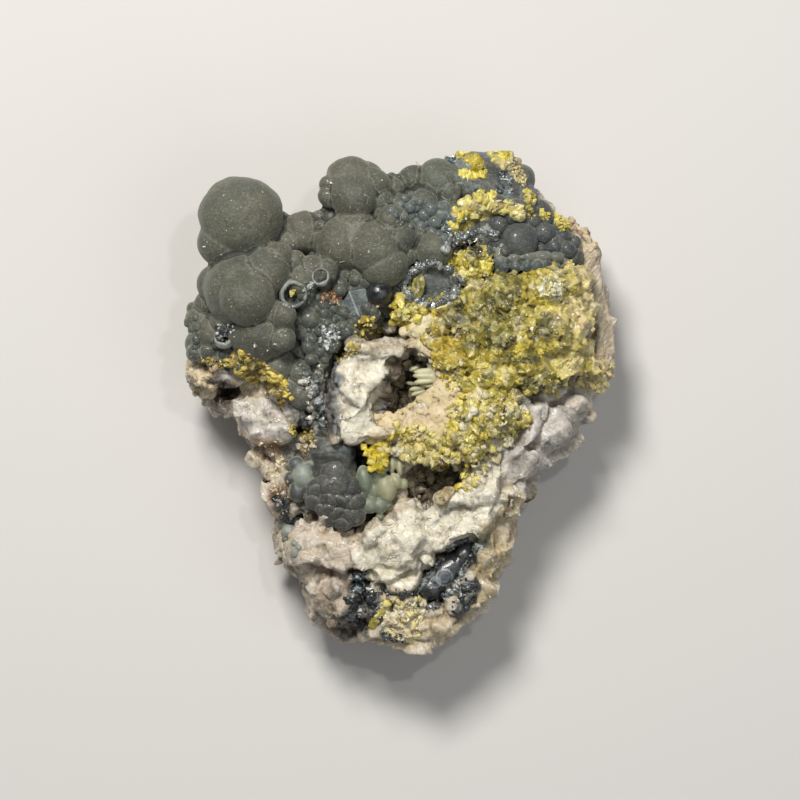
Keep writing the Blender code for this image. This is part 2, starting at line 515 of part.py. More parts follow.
def saw_flat(body):
    """Cut the back of a piece off flat at the height of the surface that it lies on."""
    builder = bmesh.new()
    builder.from_mesh(body.data)
    everything = builder.verts[:] + builder.edges[:] + builder.faces[:]
    cut = bmesh.ops.bisect_plane(builder, geom=everything, plane_co=(0, 0, 0), plane_no=(0, 0, 1),
                                 clear_inner=True)
    rim = [item for item in cut["geom_cut"] if isinstance(item, bmesh.types.BMEdge)]
    bmesh.ops.triangle_fill(builder, use_beauty=True, edges=rim, normal=(0, 0, -1))
    bmesh.ops.recalc_face_normals(builder, faces=builder.faces)
    builder.to_mesh(body.data)
    builder.free()


def centre_on_origin(bodies):
    """Move all pieces together so that the origin is the middle of their box's underside."""
    corners = [vert.co for body in bodies for vert in body.data.vertices]
    lows = [min(corner[axis] for corner in corners) for axis in range(3)]
    highs = [max(corner[axis] for corner in corners) for axis in range(3)]
    shift = Vector((-(lows[0] + highs[0]) / 2, -(lows[1] + highs[1]) / 2, -lows[2]))
    for body in bodies:
        body.data.transform(Matrix.Translation(shift))


def make_material(name, color, roughness):
    """A plain Principled material."""
    material = bpy.data.materials.new(name)
    material.use_nodes = True
    shader = material.node_tree.nodes["Principled BSDF"]
    shader.inputs["Base Color"].default_value = (*color, 1.0)
    shader.inputs["Roughness"].default_value = roughness
    material.diffuse_color = (*color, 1.0)
    return material


def paint(body, material):
    """Give a finished piece its one material."""
    body.data.materials.clear()
    body.data.materials.append(material)


def lens_hollow():
    """The hollow that the black lens lies in: its own outline with some clearance."""
    x, y, z, half_x, half_y, half_z, turn = LENS[0]
    along = Matrix.Rotation(math.radians(turn), 2)
    outline = []
    for step in range(LENS_CORNERS):
        angle = math.tau * step / LENS_CORNERS
        arm = Vector(((half_x + LENS_CLEARANCE) * math.cos(angle),
                      (half_y + LENS_CLEARANCE) * math.sin(angle)))
        place = along @ arm
        outline.append((x + place.x, y + place.y))
    return outline, z - LENS_MOUTH * half_z, z - half_z - LENS_CLEARANCE, LENS_FLOOR


def side_ledges():
    """Broken ledges along the sides of the rock, specified as BLOCKS are."""
    draw = random.Random(SEED)
    ledges = {}
    for number in range(SIDE_LEDGES):
        x, y = OUTLINE[int(number * len(OUTLINE) / SIDE_LEDGES)]
        reach = draw.uniform(*LEDGE_REACH)
        outline = []
        for step in range(LEDGE_CORNERS):
            angle = math.tau * (step + draw.uniform(-LEDGE_SKEW, LEDGE_SKEW)) / LEDGE_CORNERS
            arm = reach * draw.uniform(*LEDGE_ARMS)
            outline.append((x * LEDGE_INSET + arm * math.cos(angle),
                            y * LEDGE_INSET + arm * math.sin(angle)))
        foot = draw.uniform(*LEDGE_BOTTOMS)
        top = draw.uniform(*LEDGE_TOPS)
        slope = (draw.uniform(*LEDGE_SLOPES), draw.uniform(*LEDGE_SLOPES))
        ledges[f"side_ledge_{number}"] = (outline, foot, top, slope, draw.uniform(*LEDGE_EDGES))
    return ledges


def make_matrix(pieces, helpers):
    """The quartz rock with its blocks, lumps and hollows."""
    blocks = make_collection("matrix_blocks")
    hollows = make_collection("matrix_hollows")
    rock_points = {}
    for number, (name, spec) in enumerate(BLOCKS.items()):
        rock_points[name] = block_points(*spec, SEED + 10 * number)
    for number, (name, spec) in enumerate(side_ledges().items()):
        rock_points[name] = block_points(*spec, SEED + number, LEDGE_FOOT)
    for name, points in rock_points.items():
        hide_as_cutter(make_object(name, hull(points), blocks))
    for number, place in enumerate(LUMPS):
        hide_as_cutter(make_object(f"lump_{number}", ball(*place, detail=2), blocks))
    for name, spec in (("upper_vug", UPPER_VUG), ("lower_vug", LOWER_VUG),
                       ("end_hollow", END_HOLLOW), ("left_hollow", LEFT_HOLLOW),
                       ("lens_hollow", lens_hollow())):
        hide_as_cutter(make_object(name, hull(pit_points(*spec, MOUTH_RISE)), hollows))
    body = make_object("quartz_matrix", core_builder(), pieces)
    join_and_cut(body, blocks, [hollows])
    finish_piece(body)
    saw_flat(body)
    for name, points in rock_points.items():
        hide_as_cutter(make_object(name + "_clear", hull(grown(points, GAP)), helpers))
    for number, place in enumerate(LUMPS):
        wide = ball(*place, detail=2, gap=GAP * LUMP_GAP)
        hide_as_cutter(make_object(f"lump_{number}_clear", wide, helpers))
    hide_as_cutter(make_object("core_clear", core_builder(GAP), helpers))
    return body


def make_crust(name, builders, pieces, cutters):
    """One solid from overlapping rounded forms, cut clear of what it grows on."""
    forms = make_collection(name + "_forms")
    body = make_object(name, builders[0], pieces)
    for number, builder in enumerate(builders[1:]):
        hide_as_cutter(make_object(f"{name}_form_{number}", builder, forms))
    join_and_cut(body, forms, cutters)
    finish_piece(body)
    return body


def yellow_grains():
    """Flat-faced crystals set over the swells of the yellow crust, most of them on the upper side."""
    draw = random.Random(SEED)
    grains = []
    for number in range(GRAINS):
        x, y, z, radius = YELLOW_SWELLS[number % len(YELLOW_SWELLS)]
        angle = draw.uniform(0.0, math.tau)
        lean = draw.uniform(*GRAIN_LEAN)
        out = Vector((math.sin(lean) * math.cos(angle), math.sin(lean) * math.sin(angle),
                      math.cos(lean)))
        centre = Vector((x, y, z)) + out * (radius - GRAIN_SINK)
        size = draw.uniform(*GRAIN_SIZE)
        builder = bmesh.new()
        bmesh.ops.create_cube(builder, size=size * GRAIN_WIDTH)
        turn = Euler([draw.uniform(0.0, math.tau) for _ in range(3)]).to_matrix().to_4x4()
        bmesh.ops.transform(builder, matrix=Matrix.Translation(centre) @ turn, verts=builder.verts)
        grains.append(builder)
    return grains


def outline_at(vug, height):
    """A hollow's outline at a height, and its size against the mouth's."""
    outline, mouth, floor, floor_scale = vug
    rise = (height - floor - FLOOR_CHAMFER) / (mouth - floor - FLOOR_CHAMFER)
    scale = floor_scale + (1.0 - floor_scale) * rise
    middle = middle_of(outline)
    return [middle + (Vector(point) - middle) * scale for point in outline], scale


def make_vug_lining(name, vug, rim_height, crystals, pieces):
    """The crystal crust that lines a hollow: a thin cup with crystals that point inward."""
    _, _, floor, floor_scale = vug
    rim, at_rim = outline_at(vug, rim_height)
    clear = GAP * LINING_GAP
    outer = pit_points(shrink(rim, clear), rim_height, floor + clear, floor_scale / at_rim)
    inner = pit_points(shrink(rim, clear + VUG_WALL), rim_height + LINING_MOUTH,
                       floor + clear + VUG_WALL, floor_scale / at_rim)
    forms = make_collection(name + "_forms")
    hollow = make_collection(name + "_hollow")
    hide_as_cutter(make_object(name + "_inside", hull(inner), hollow))
    body = make_object(name, hull(outer), pieces)
    join_and_cut(body, None, [hollow])
    for number, spec in enumerate(crystals):
        hide_as_cutter(make_object(f"{name}_crystal_{number}", crystal(*spec), forms))
    join = body.modifiers.new("crystals", "BOOLEAN")
    join.operation = "UNION"
    join.operand_type = "COLLECTION"
    join.collection = forms
    join.solver = "EXACT"
    finish_piece(body)
    return body


def vug_crystals(vug, rows, seed):
    """Crystals on the wall of a hollow: foot, direction, width, length and turn of each."""
    outline, _, floor, _ = vug
    draw = random.Random(seed)
    middle = middle_of(outline)
    made = []
    for level in range(rows):
        row_height = floor + FIRST_ROW + ROW_STEP * level
        inset = GAP * LINING_GAP + VUG_WALL + CRYSTAL_WIDTH * CRYSTAL_SINK
        wall = shrink(outline_at(vug, row_height)[0], inset)
        for number, point in enumerate(wall):
            if (number + level) % 2:
                continue
            height = row_height + draw.uniform(-ROW_STRAY, ROW_STRAY)
            inward = middle - point
            aim = Vector((inward.x, inward.y, CRYSTAL_RISE)).normalized()
            size = CRYSTAL_WIDTH * draw.uniform(*CRYSTAL_SIZES)
            made.append(((point.x, point.y, height), aim, size, size * CRYSTAL_LENGTH,
                         draw.uniform(0.0, math.tau)))
    return made


def main():
    """Build the specimen."""
    for old in list(bpy.data.objects):
        bpy.data.objects.remove(old, do_unlink=True)
    pieces = make_collection("plumbogummite_specimen")
    rock_clear = make_collection("rock_clearance")

    quartz = make_material("quartz", (0.62, 0.55, 0.44), 0.55)
    grey = make_material("plumbogummite", (0.105, 0.115, 0.10), 0.55)
    pale = make_material("pale_plumbogummite", (0.24, 0.29, 0.24), 0.5)
    yellow = make_material("pyromorphite", (0.52, 0.43, 0.07), 0.4)
    black = make_material("black_lens", (0.03, 0.034, 0.04), 0.12)
    vug = make_material("vug_crystal", (0.16, 0.12, 0.07), 0.3)

    matrix = make_matrix(pieces, rock_clear)
    paint(matrix, quartz)

    balls = GREY_BALLS + BLUE_BALLS + RIM_BEADS
    forms = [ball(*place) for place in balls] + [lobe(*place) for place in CRUST_SWELLS]
    grey_crust = make_crust("plumbogummite_crust", forms, pieces, [rock_clear])
    paint(grey_crust, grey)

    nugget_clear = make_collection("nugget_clearance")
    nugget_hull = hull(grown(block_points(*YELLOW_NUGGET, SEED), GAP))
    hide_as_cutter(make_object("nugget_clear", nugget_hull, nugget_clear))
    lower = make_crust("lower_crust", [lobe(*place) for place in LOWER_LOBES], pieces,
                       [rock_clear, nugget_clear])
    paint(lower, pale)

    balls_clear = make_collection("ball_clearance")
    for number, place in enumerate(balls):
        if place[0] > GREY_NEAR_YELLOW:
            wide = ball(*place, gap=GAP * BALL_GAP)
            hide_as_cutter(make_object(f"ball_clear_{number}", wide, balls_clear))
    for number, place in enumerate(CRUST_SWELLS):
        wide = lobe(*place, gap=GAP * BALL_GAP)
        hide_as_cutter(make_object(f"swell_clear_{number}", wide, balls_clear))
    swells = [ball(*place, detail=2) for place in YELLOW_SWELLS]
    yellow_crust = make_crust("yellow_crust", swells + yellow_grains(), pieces,
                              [rock_clear, balls_clear])
    paint(yellow_crust, yellow)

    nugget = make_crust("yellow_nugget", [hull(block_points(*YELLOW_NUGGET, SEED))], pieces,
                        [rock_clear])
    paint(nugget, yellow)

    lens = make_crust("black_lens", [lobe(*place, detail=3) for place in LENS], pieces, [])
    paint(lens, black)

    upper = make_vug_lining("upper_vug_crystals", UPPER_VUG, UPPER_VUG_RIM,
                            vug_crystals(UPPER_VUG, 2, SEED), pieces)
    paint(upper, vug)
    low = make_vug_lining("lower_vug_crystals", LOWER_VUG, LOWER_VUG_RIM,
                          vug_crystals(LOWER_VUG, 1, SEED + 1), pieces)
    paint(low, vug)
    centre_on_origin(pieces.objects[:])


main()
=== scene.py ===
"""Looks of the plumbogummite specimen: grey and yellow crusts on a block of broken quartz."""
import math
import random

import bpy
import numpy as np
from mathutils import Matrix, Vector
from mathutils.bvhtree import BVHTree


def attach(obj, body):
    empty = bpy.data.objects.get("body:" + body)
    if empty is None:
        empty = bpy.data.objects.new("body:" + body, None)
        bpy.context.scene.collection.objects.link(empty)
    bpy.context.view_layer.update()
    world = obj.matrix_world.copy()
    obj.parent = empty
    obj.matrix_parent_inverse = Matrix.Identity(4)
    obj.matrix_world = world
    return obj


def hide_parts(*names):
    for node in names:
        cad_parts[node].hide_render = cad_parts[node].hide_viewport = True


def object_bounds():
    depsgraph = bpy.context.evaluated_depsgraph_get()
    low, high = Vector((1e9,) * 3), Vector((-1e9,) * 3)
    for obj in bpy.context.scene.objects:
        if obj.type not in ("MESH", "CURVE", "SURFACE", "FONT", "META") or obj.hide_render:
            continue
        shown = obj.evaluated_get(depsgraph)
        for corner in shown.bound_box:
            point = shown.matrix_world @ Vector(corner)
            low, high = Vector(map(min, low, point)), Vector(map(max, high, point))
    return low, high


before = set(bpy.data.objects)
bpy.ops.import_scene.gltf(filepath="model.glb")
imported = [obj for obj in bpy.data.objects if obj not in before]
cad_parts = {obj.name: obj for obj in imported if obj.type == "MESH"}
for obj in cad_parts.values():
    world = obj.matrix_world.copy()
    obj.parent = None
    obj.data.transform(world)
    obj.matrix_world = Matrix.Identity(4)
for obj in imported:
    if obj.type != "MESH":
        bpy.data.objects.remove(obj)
CAD_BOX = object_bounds()

MM = 0.001
SEED = 7
# The places below are in millimetres from the middle of the sawn back. The box's middle lies a little
# to its side.
SHIFT = Vector((-0.28, 0.15, 0.0))
PIECE_FACES = 145000      # most triangles in a piece


# ---------------------------------------------------------------- shapes: tools

def only(piece):
    """Select one piece and make it active."""
    bpy.ops.object.select_all(action="DESELECT")
    piece.select_set(True)
    bpy.context.view_layer.objects.active = piece


def change(piece, kind, **settings):
    """Add a modifier to a piece and apply it."""
    only(piece)
    modifier = piece.modifiers.new(kind.lower(), kind)
    for key, value in settings.items():
        setattr(modifier, key, value)
    bpy.ops.object.modifier_apply(modifier=modifier.name)


def join(pieces, name):
    """Join pieces into one object with a name, its place in its mesh."""
    bpy.ops.object.select_all(action="DESELECT")
    for piece in pieces:
        piece.select_set(True)
    bpy.context.view_layer.objects.active = pieces[0]
    if len(pieces) > 1:
        bpy.ops.object.join()
    joined = bpy.context.view_layer.objects.active
    bpy.ops.object.transform_apply(location=True, rotation=True, scale=True)
    joined.name = name
    joined.data.name = name
    return joined


def place(x, y, z):
    """A place in metres from one in the specimen's millimetres."""
    return (Vector((x, y, z)) + SHIFT) * MM


def add_ball(x, y, z, radius, detail=None):
    """A ball at its size and place."""
    if detail is None:
        detail = 5 if radius > 2.9 else 4 if radius > 1.1 else 3
    bpy.ops.mesh.primitive_ico_sphere_add(subdivisions=detail, radius=radius * MM,
                                          location=place(x, y, z))
    return bpy.context.object


def add_lobe(x, y, z, half_x, half_y, half_z, turn=0.0, detail=4):
    """A rounded lobe with three half-lengths, turned about z in degrees."""
    bpy.ops.mesh.primitive_ico_sphere_add(subdivisions=detail, radius=MM, location=place(x, y, z))
    lobe = bpy.context.object
    lobe.scale = (half_x, half_y, half_z)
    lobe.rotation_euler = (0.0, 0.0, math.radians(turn))
    return lobe


def add_block(x, y, z, half_x, half_y, half_z, lean, turn):
    """A block with bevelled edges, leaning to one side and turned, in degrees."""
    bpy.ops.mesh.primitive_cube_add(size=2 * MM, location=place(x, y, z),
                                    rotation=(0.0, math.radians(lean), math.radians(turn)))
    block = bpy.context.object
    bpy.ops.object.mode_set(mode="EDIT")
    bpy.ops.transform.resize(value=(half_x, half_y, half_z), orient_type="LOCAL")
    bpy.ops.mesh.bevel(offset=0.3 * MM, segments=1, affect="EDGES")
    bpy.ops.object.mode_set(mode="OBJECT")
    return block


def copy_node(node, name):
    """A copy of a CAD solid, with its loose triangles merged."""
    source = bpy.data.objects[node]
    copy = bpy.data.objects.new(name, source.data.copy())
    bpy.context.scene.collection.objects.link(copy)
    copy.data.materials.clear()
    only(copy)
    bpy.ops.object.mode_set(mode="EDIT")
    bpy.ops.mesh.select_all(action="SELECT")
    bpy.ops.mesh.remove_doubles(threshold=0.000002)
    bpy.ops.object.mode_set(mode="OBJECT")
    return copy


def skin(piece, spacing):
    """Fuse a piece's forms into one even skin."""
    change(piece, "REMESH", mode="VOXEL", voxel_size=spacing * MM, use_smooth_shade=True)


def limit_faces(piece, most=PIECE_FACES):
    """Thin a piece to a number of triangles, if it has more."""
    triangles = sum(len(face.vertices) - 2 for face in piece.data.polygons)
    if triangles > most:
        change(piece, "DECIMATE", ratio=most / triangles)
        piece.data.validate()
        keep_inside(piece)
    piece.data.shade_smooth()


def points_of(piece):
    """A piece's points in millimetres."""
    flat = np.empty(len(piece.data.vertices) * 3, dtype=np.float32)
    piece.data.vertices.foreach_get("co", flat)
    return flat.reshape(-1, 3).astype(np.float64) / MM


def normals_of(piece):
    """A piece's point normals."""
    flat = np.empty(len(piece.data.vertices) * 3, dtype=np.float32)
    piece.data.vertex_normals.foreach_get("vector", flat)
    return flat.reshape(-1, 3).astype(np.float64)


def set_points(piece, points):
    """Move a piece's points, given in millimetres."""
    piece.data.vertices.foreach_set("co", (points * MM).astype(np.float32).ravel())
    piece.data.update()


def neighbour_mean(piece, values, rounds):
    """Values at a piece's points, each averaged with its neighbours a number of times."""
    edges = np.empty(len(piece.data.edges) * 2, dtype=np.int32)
    piece.data.edges.foreach_get("vertices", edges)
    first, second = edges[0::2], edges[1::2]
    count = len(piece.data.vertices)
    shares = np.bincount(first, minlength=count) + np.bincount(second, minlength=count)
    shares = np.maximum(shares, 1)[:, None]
    result = values.reshape(count, -1).astype(np.float64)
    for _ in range(rounds):
        total = np.empty_like(result)
        for column in range(result.shape[1]):
            total[:, column] = (np.bincount(first, result[second, column], count)
                                + np.bincount(second, result[first, column], count))
        result = 0.5 * result + 0.5 * total / shares
    return result


def hollowness(piece, rounds):
    """How far each point lies in a crease (above 0) or on a crest (below 0), in millimetres."""
    points = points_of(piece)
    smooth = neighbour_mean(piece, points, rounds)
    return np.einsum("ij,ij->i", smooth - points, normals_of(piece))


def push_out(piece, heights):
    """Move a piece's skin outwards by a height at each point, in millimetres."""
    set_points(piece, points_of(piece) + normals_of(piece) * heights[:, None])


def one_color(points, color):
    """The same colour at each point."""
    return np.tile(np.array(color), (len(points), 1))


def store(piece, name, values):
    """Keep values at a piece's points, or one number at them all, for its finish."""
    if np.ndim(values) == 0:
        values = np.full(len(piece.data.vertices), values)
    values = np.asarray(values, dtype=np.float32)
    if values.ndim == 1:
        piece.data.attributes.new(name, "FLOAT", "POINT").data.foreach_set("value", values)
    else:
        full = np.ones((len(values), 4), dtype=np.float32)
        full[:, :3] = values
        layer = piece.data.attributes.new(name, "FLOAT_COLOR", "POINT")
        layer.data.foreach_set("color", full.ravel())


# ---------------------------------------------------------------- shapes: natural roughness

def scatter_hash(cells, seed):
    """An even random number from 0 to 1 for each whole-numbered cell."""
    mixed = (cells[..., 0] * 73856093) ^ (cells[..., 1] * 19349663) ^ (cells[..., 2] * 83492791)
    mixed = (mixed + seed * 2654435) & 0x7FFFFFFF
    mixed = ((mixed ^ (mixed >> 13)) * 1274126177) & 0x7FFFFFFF
    mixed = ((mixed ^ (mixed >> 16)) * 668265263) & 0x7FFFFFFF
    return (mixed ^ (mixed >> 15)) / float(0x7FFFFFFF)


def soft_noise(points, size, seed):
    """Smooth noise from -1 to 1 whose swells measure about the size given."""
    scaled = points / size
    base = np.floor(scaled).astype(np.int64)
    part = scaled - base
    part = part * part * (3.0 - 2.0 * part)
    total = np.zeros(len(points))
    for corner in range(8):
        step = np.array([corner & 1, corner >> 1 & 1, corner >> 2 & 1])
        weight = np.prod(np.where(step == 1, part, 1.0 - part), axis=1)
        total += weight * scatter_hash(base + step, seed)
    return total * 2.0 - 1.0


def layered_noise(points, size, seed, layers=3):
    """Soft noise in several sizes, each half the last."""
    total = np.zeros(len(points))
    for layer in range(layers):
        total += soft_noise(points, size / 2 ** layer, seed + layer) / 2 ** layer
    return total / (2.0 - 0.5 ** (layers - 1))


def broken_facets(points, size, seed, tilt):
    """Heights of flat broken facets of about the size given, each tilted its own way."""
    scaled = points / size
    base = np.floor(scaled).astype(np.int64)
    nearest = np.full(len(points), 1e9)
    height = np.zeros(len(points))
    for number in range(27):
        step = np.array([number % 3 - 1, number // 3 % 3 - 1, number // 9 - 1])
        cell = base + step
        middle = cell + np.stack([scatter_hash(cell, seed + axis) for axis in range(3)], axis=1)
        arm = scaled - middle
        distance = np.einsum("ij,ij->i", arm, arm)
        lean = np.stack([scatter_hash(cell, seed + 5 + axis) for axis in range(3)], axis=1) - 0.5
        rise = np.einsum("ij,ij->i", arm, lean) * 2.0 + 0.5 * (scatter_hash(cell, seed + 9) - 0.5)
        closer = distance < nearest
        nearest = np.where(closer, distance, nearest)
        height = np.where(closer, rise, height)
    return height * size * tilt


# ---------------------------------------------------------------- shapes: zones

def edge_distance(outline, flat):
    """Distance of points from an outline's edge, in millimetres, above 0 inside it."""
    outline = np.asarray(outline, dtype=np.float64)
    nearest = np.full(len(flat), 1e9)
    inside = np.zeros(len(flat), dtype=bool)
    for start, end in zip(outline, np.roll(outline, -1, axis=0)):
        along = end - start
        share = np.clip(((flat - start) @ along) / (along @ along), 0.0, 1.0)
        gap = np.linalg.norm(flat - start - share[:, None] * along, axis=1)
        nearest = np.minimum(nearest, gap)
        crosses = (start[1] > flat[:, 1]) != (end[1] > flat[:, 1])
        rise = np.where(along[1] == 0.0, 1e-9, along[1])
        at = start[0] + (flat[:, 1] - start[1]) * along[0] / rise
        inside ^= crosses & (flat[:, 0] < at)
    return np.where(inside, nearest, -nearest)


def zone(points, outline, feather=1.0, ragged=0.6, seed=0, low=-1.0, high=99.0):
    """How much each point belongs to a zone seen from above: 1 inside, 0 outside, ragged between."""
    flat = points[:, :2] - np.array(SHIFT[:2])
    distance = edge_distance(outline, flat) + ragged * layered_noise(points, 1.6, seed, 3)
    share = np.clip(0.5 + distance / feather, 0.0, 1.0)
    depth = np.clip((points[:, 2] - low) / 0.8, 0, 1) * np.clip((high - points[:, 2]) / 0.8, 0, 1)
    return share * depth


def blend(colors, color, share):
    """Colours with another laid over them by a share at each point."""
    return colors + (np.asarray(color) - colors) * share[:, None]


def tone(red, green, blue):
    """A colour as the eye reads it, from 0 to 255, as the light it gives back."""
    return tuple(((part / 255 + 0.055) / 1.055) ** 2.4 if part > 10 else part / 255 / 12.92
                 for part in (red, green, blue))


# ---------------------------------------------------------------- shapes: colour that follows the forms

def form_shares(points, forms, softness=0.22):
    """How much each point belongs to each ball or lobe, and how steeply it faces out of it."""
    gaps = np.empty((len(forms), len(points)), dtype=np.float32)
    ups = np.empty_like(gaps)
    for number, form in enumerate(forms):
        half = form[3:6] if len(form) > 4 else (form[3],) * 3
        turn = math.radians(form[6]) if len(form) > 6 else 0.0
        arm = points - np.array([form[0] + SHIFT.x, form[1] + SHIFT.y, form[2]])
        along = arm[:, 0] * math.cos(turn) + arm[:, 1] * math.sin(turn)
        across = arm[:, 1] * math.cos(turn) - arm[:, 0] * math.sin(turn)
        reach = np.sqrt((along / half[0]) ** 2 + (across / half[1]) ** 2 + (arm[:, 2] / half[2]) ** 2)
        gaps[number] = np.abs(reach - 1.0) * min(half)
        ups[number] = arm[:, 2] / half[2] / np.maximum(reach, 0.01)
    shares = np.exp(-(gaps - gaps.min(axis=0)) / softness)
    shares /= shares.sum(axis=0)
    return shares, (shares * ups).sum(axis=0)


def clamp01(values):
    """Values held between 0 and 1."""
    return np.clip(values, 0.0, 1.0)


def surface_spots(piece, count, seed, weight=None):
    """Random places on a piece's skin with their outward directions, denser where weight is high."""
    mesh = piece.data
    mesh.calc_loop_triangles()
    corners = np.empty(len(mesh.loop_triangles) * 3, dtype=np.int32)
    mesh.loop_triangles.foreach_get("vertices", corners)
    corners = corners.reshape(-1, 3)
    points, normals = points_of(piece), normals_of(piece)
    edges = points[corners[:, 1]] - points[corners[:, 0]], points[corners[:, 2]] - points[corners[:, 0]]
    share = np.linalg.norm(np.cross(*edges), axis=1)
    if weight is not None:
        share = share * weight[corners].mean(axis=1)
    draw = np.random.default_rng(seed)
    chosen = draw.choice(len(corners), size=count, p=share / share.sum())
    parts = draw.dirichlet((1.0, 1.0, 1.0), size=count)[:, :, None]
    spots = (points[corners[chosen]] * parts).sum(axis=1)
    outward = (normals[corners[chosen]] * parts).sum(axis=1)
    return spots, outward / np.maximum(np.linalg.norm(outward, axis=1), 0.001)[:, None]


def random_unit(draw, count):
    """Random directions."""
    way = draw.normal(size=(count, 3))
    return way / np.linalg.norm(way, axis=1)[:, None]


def strew(name, forms, spots, outward, sizes, seed, sink=0.3, spread=0.5, tints=None):
    """One mesh of copies of small forms made once, set on spots and leaning about outward."""
    draw = np.random.default_rng(seed)
    shapes = []
    for form in forms:
        shapes.append((points_of(form), [tuple(face.vertices) for face in form.data.polygons]))
    upward = outward + spread * random_unit(draw, len(spots))
    upward /= np.linalg.norm(upward, axis=1)[:, None]
    side = np.cross(upward, random_unit(draw, len(spots)))
    side /= np.maximum(np.linalg.norm(side, axis=1), 0.001)[:, None]
    third = np.cross(upward, side)
    all_points, all_faces, all_tints = [], [], []
    start = 0
    for number, kind in enumerate(draw.integers(0, len(shapes), len(spots))):
        points, faces = shapes[kind]
        size = sizes[number]
        turned = (points[:, :1] * side[number] + points[:, 1:2] * third[number]
                  + (points[:, 2:] - sink) * upward[number])
        all_points.append(spots[number] + turned * size)
        all_faces.extend(tuple(corner + start for corner in face) for face in faces)
        start += len(points)
        if tints is not None:
            all_tints.append(np.repeat(tints[number][None], len(points), axis=0))
    mesh = bpy.data.meshes.new(name)
    mesh.from_pydata((np.concatenate(all_points) * MM).tolist(), [], all_faces)
    strewn = bpy.data.objects.new(name, mesh)
    bpy.context.scene.collection.objects.link(strewn)
    if tints is not None:
        store(strewn, "tint", np.concatenate(all_tints))
    return strewn


def drop(pieces):
    """Remove helper pieces."""
    for piece in pieces:
        bpy.data.objects.remove(piece, do_unlink=True)


def keep_inside(piece):
    """Hold a piece's points inside the specimen's box."""
    low, high = np.array(CAD_BOX[0]) / MM + 0.002, np.array(CAD_BOX[1]) / MM - 0.002
    set_points(piece, np.clip(points_of(piece), low, high))


def settle(piece, most=PIECE_FACES, **layers):
    """Keep a piece's values for its finish, hold it in the box and thin its skin, if it is to be thinned."""
    for name, values in layers.items():
        store(piece, name, values)
    keep_inside(piece)
    if most:
        limit_faces(piece, most)
    return piece


# ---------------------------------------------------------------- shapes: small forms, made once

def chip(width, height, lean, seed):
    """A broken crystal chip: a cube drawn in and cut askew three times."""
    draw = random.Random(seed)
    bpy.ops.mesh.primitive_cube_add(size=MM)
    made = bpy.context.object
    bpy.ops.object.mode_set(mode="EDIT")
    bpy.ops.transform.resize(value=(width, width * draw.uniform(0.7, 1.0), height))
    for _ in range(3):
        way = Vector((draw.uniform(-1, 1), draw.uniform(-1, 1), draw.uniform(0.1, 1))).normalized()
        bpy.ops.mesh.select_all(action="SELECT")
        bpy.ops.mesh.bisect(plane_co=way * MM * 0.36 * (1.0 + lean), plane_no=way, use_fill=True,
                            clear_outer=True)
    bpy.ops.mesh.select_all(action="SELECT")
    bpy.ops.mesh.remove_doubles(threshold=0.00002)
    bpy.ops.mesh.normals_make_consistent(inside=False)
    bpy.ops.object.mode_set(mode="OBJECT")
    return made


def point_crystal(width, length, tip, sides=6):
    """A crystal with flat sides and a pointed end, its foot at the origin."""
    bpy.ops.mesh.primitive_cylinder_add(vertices=sides, radius=width / 2 * MM, depth=length * MM,
                                        location=(0.0, 0.0, length / 2 * MM))
    made = bpy.context.object
    bpy.ops.object.transform_apply(location=True, rotation=True, scale=True)
    bpy.ops.object.mode_set(mode="EDIT")
    bpy.ops.mesh.select_mode(type="FACE")
    bpy.ops.mesh.select_all(action="DESELECT")
    bpy.ops.object.mode_set(mode="OBJECT")
    for face in made.data.polygons:
        face.select = face.normal.z > 0.9
    bpy.ops.object.mode_set(mode="EDIT")
    bpy.ops.mesh.extrude_region_move(TRANSFORM_OT_translate={"value": (0.0, 0.0, tip * MM)})
    bpy.ops.transform.resize(value=(0.12, 0.12, 1.0))
    bpy.ops.object.mode_set(mode="OBJECT")
    return made


# ---------------------------------------------------------------- the camera, the light and the floor

def set_camera():
    """The camera, straight above the specimen."""
    camera = bpy.data.cameras.new("camera")
    camera.lens = 200.0
    camera.sensor_width = 36.0
    camera.clip_start = 0.01
    view = bpy.data.objects.new("camera", camera)
    view.location = (SHIFT.x * MM, (0.28 + SHIFT.y) * MM, 0.636)
    bpy.context.scene.collection.objects.link(view)
    bpy.context.scene.camera = view


def add_light(name, x, y, z, size, power, color=(1.0, 1.0, 1.0)):
    """A soft square light aimed at the specimen."""
    light = bpy.data.lights.new(name, "AREA")
    light.size = size
    light.energy = power
    light.color = color
    lamp = bpy.data.objects.new(name, light)
    lamp.location = (x, y, z)
    lamp.rotation_euler = (Vector((0.0, 0.0, 0.015)) - lamp.location).to_track_quat("-Z", "Y").to_euler()
    bpy.context.scene.collection.objects.link(lamp)


def set_studio():
    """Soft light from the broad end, a weak fill, and a pale floor."""
    add_light("key", -0.10, 0.26, 0.44, 0.13, 2.85, (1.0, 0.97, 0.92))
    add_light("fill", 0.25, -0.20, 0.50, 0.50, 0.7, (0.97, 0.98, 1.0))
    add_light("glint", 0.10, 0.12, 0.56, 0.02, 0.35)
    world = bpy.data.worlds.new("studio")
    world.use_nodes = True
    sky = world.node_tree.nodes["Background"].inputs
    sky["Color"].default_value = (0.80, 0.82, 0.85, 1.0)
    sky["Strength"].default_value = 0.15
    bpy.context.scene.world = world
    bpy.context.scene.view_settings.view_transform = "Standard"
    bpy.ops.mesh.primitive_plane_add(size=1.6, location=(0.0, 0.0, -0.0002))
    floor = bpy.context.object
    floor.name = "floor"
    paper = bpy.data.materials.new("floor_paper")
    paper.use_nodes = True
    shader = paper.node_tree.nodes["Principled BSDF"].inputs
    shader["Base Color"].default_value = (0.62, 0.61, 0.59, 1.0)
    shader["Roughness"].default_value = 0.9
    floor.data.materials.append(paper)


# ---------------------------------------------------------------- finishes: tools

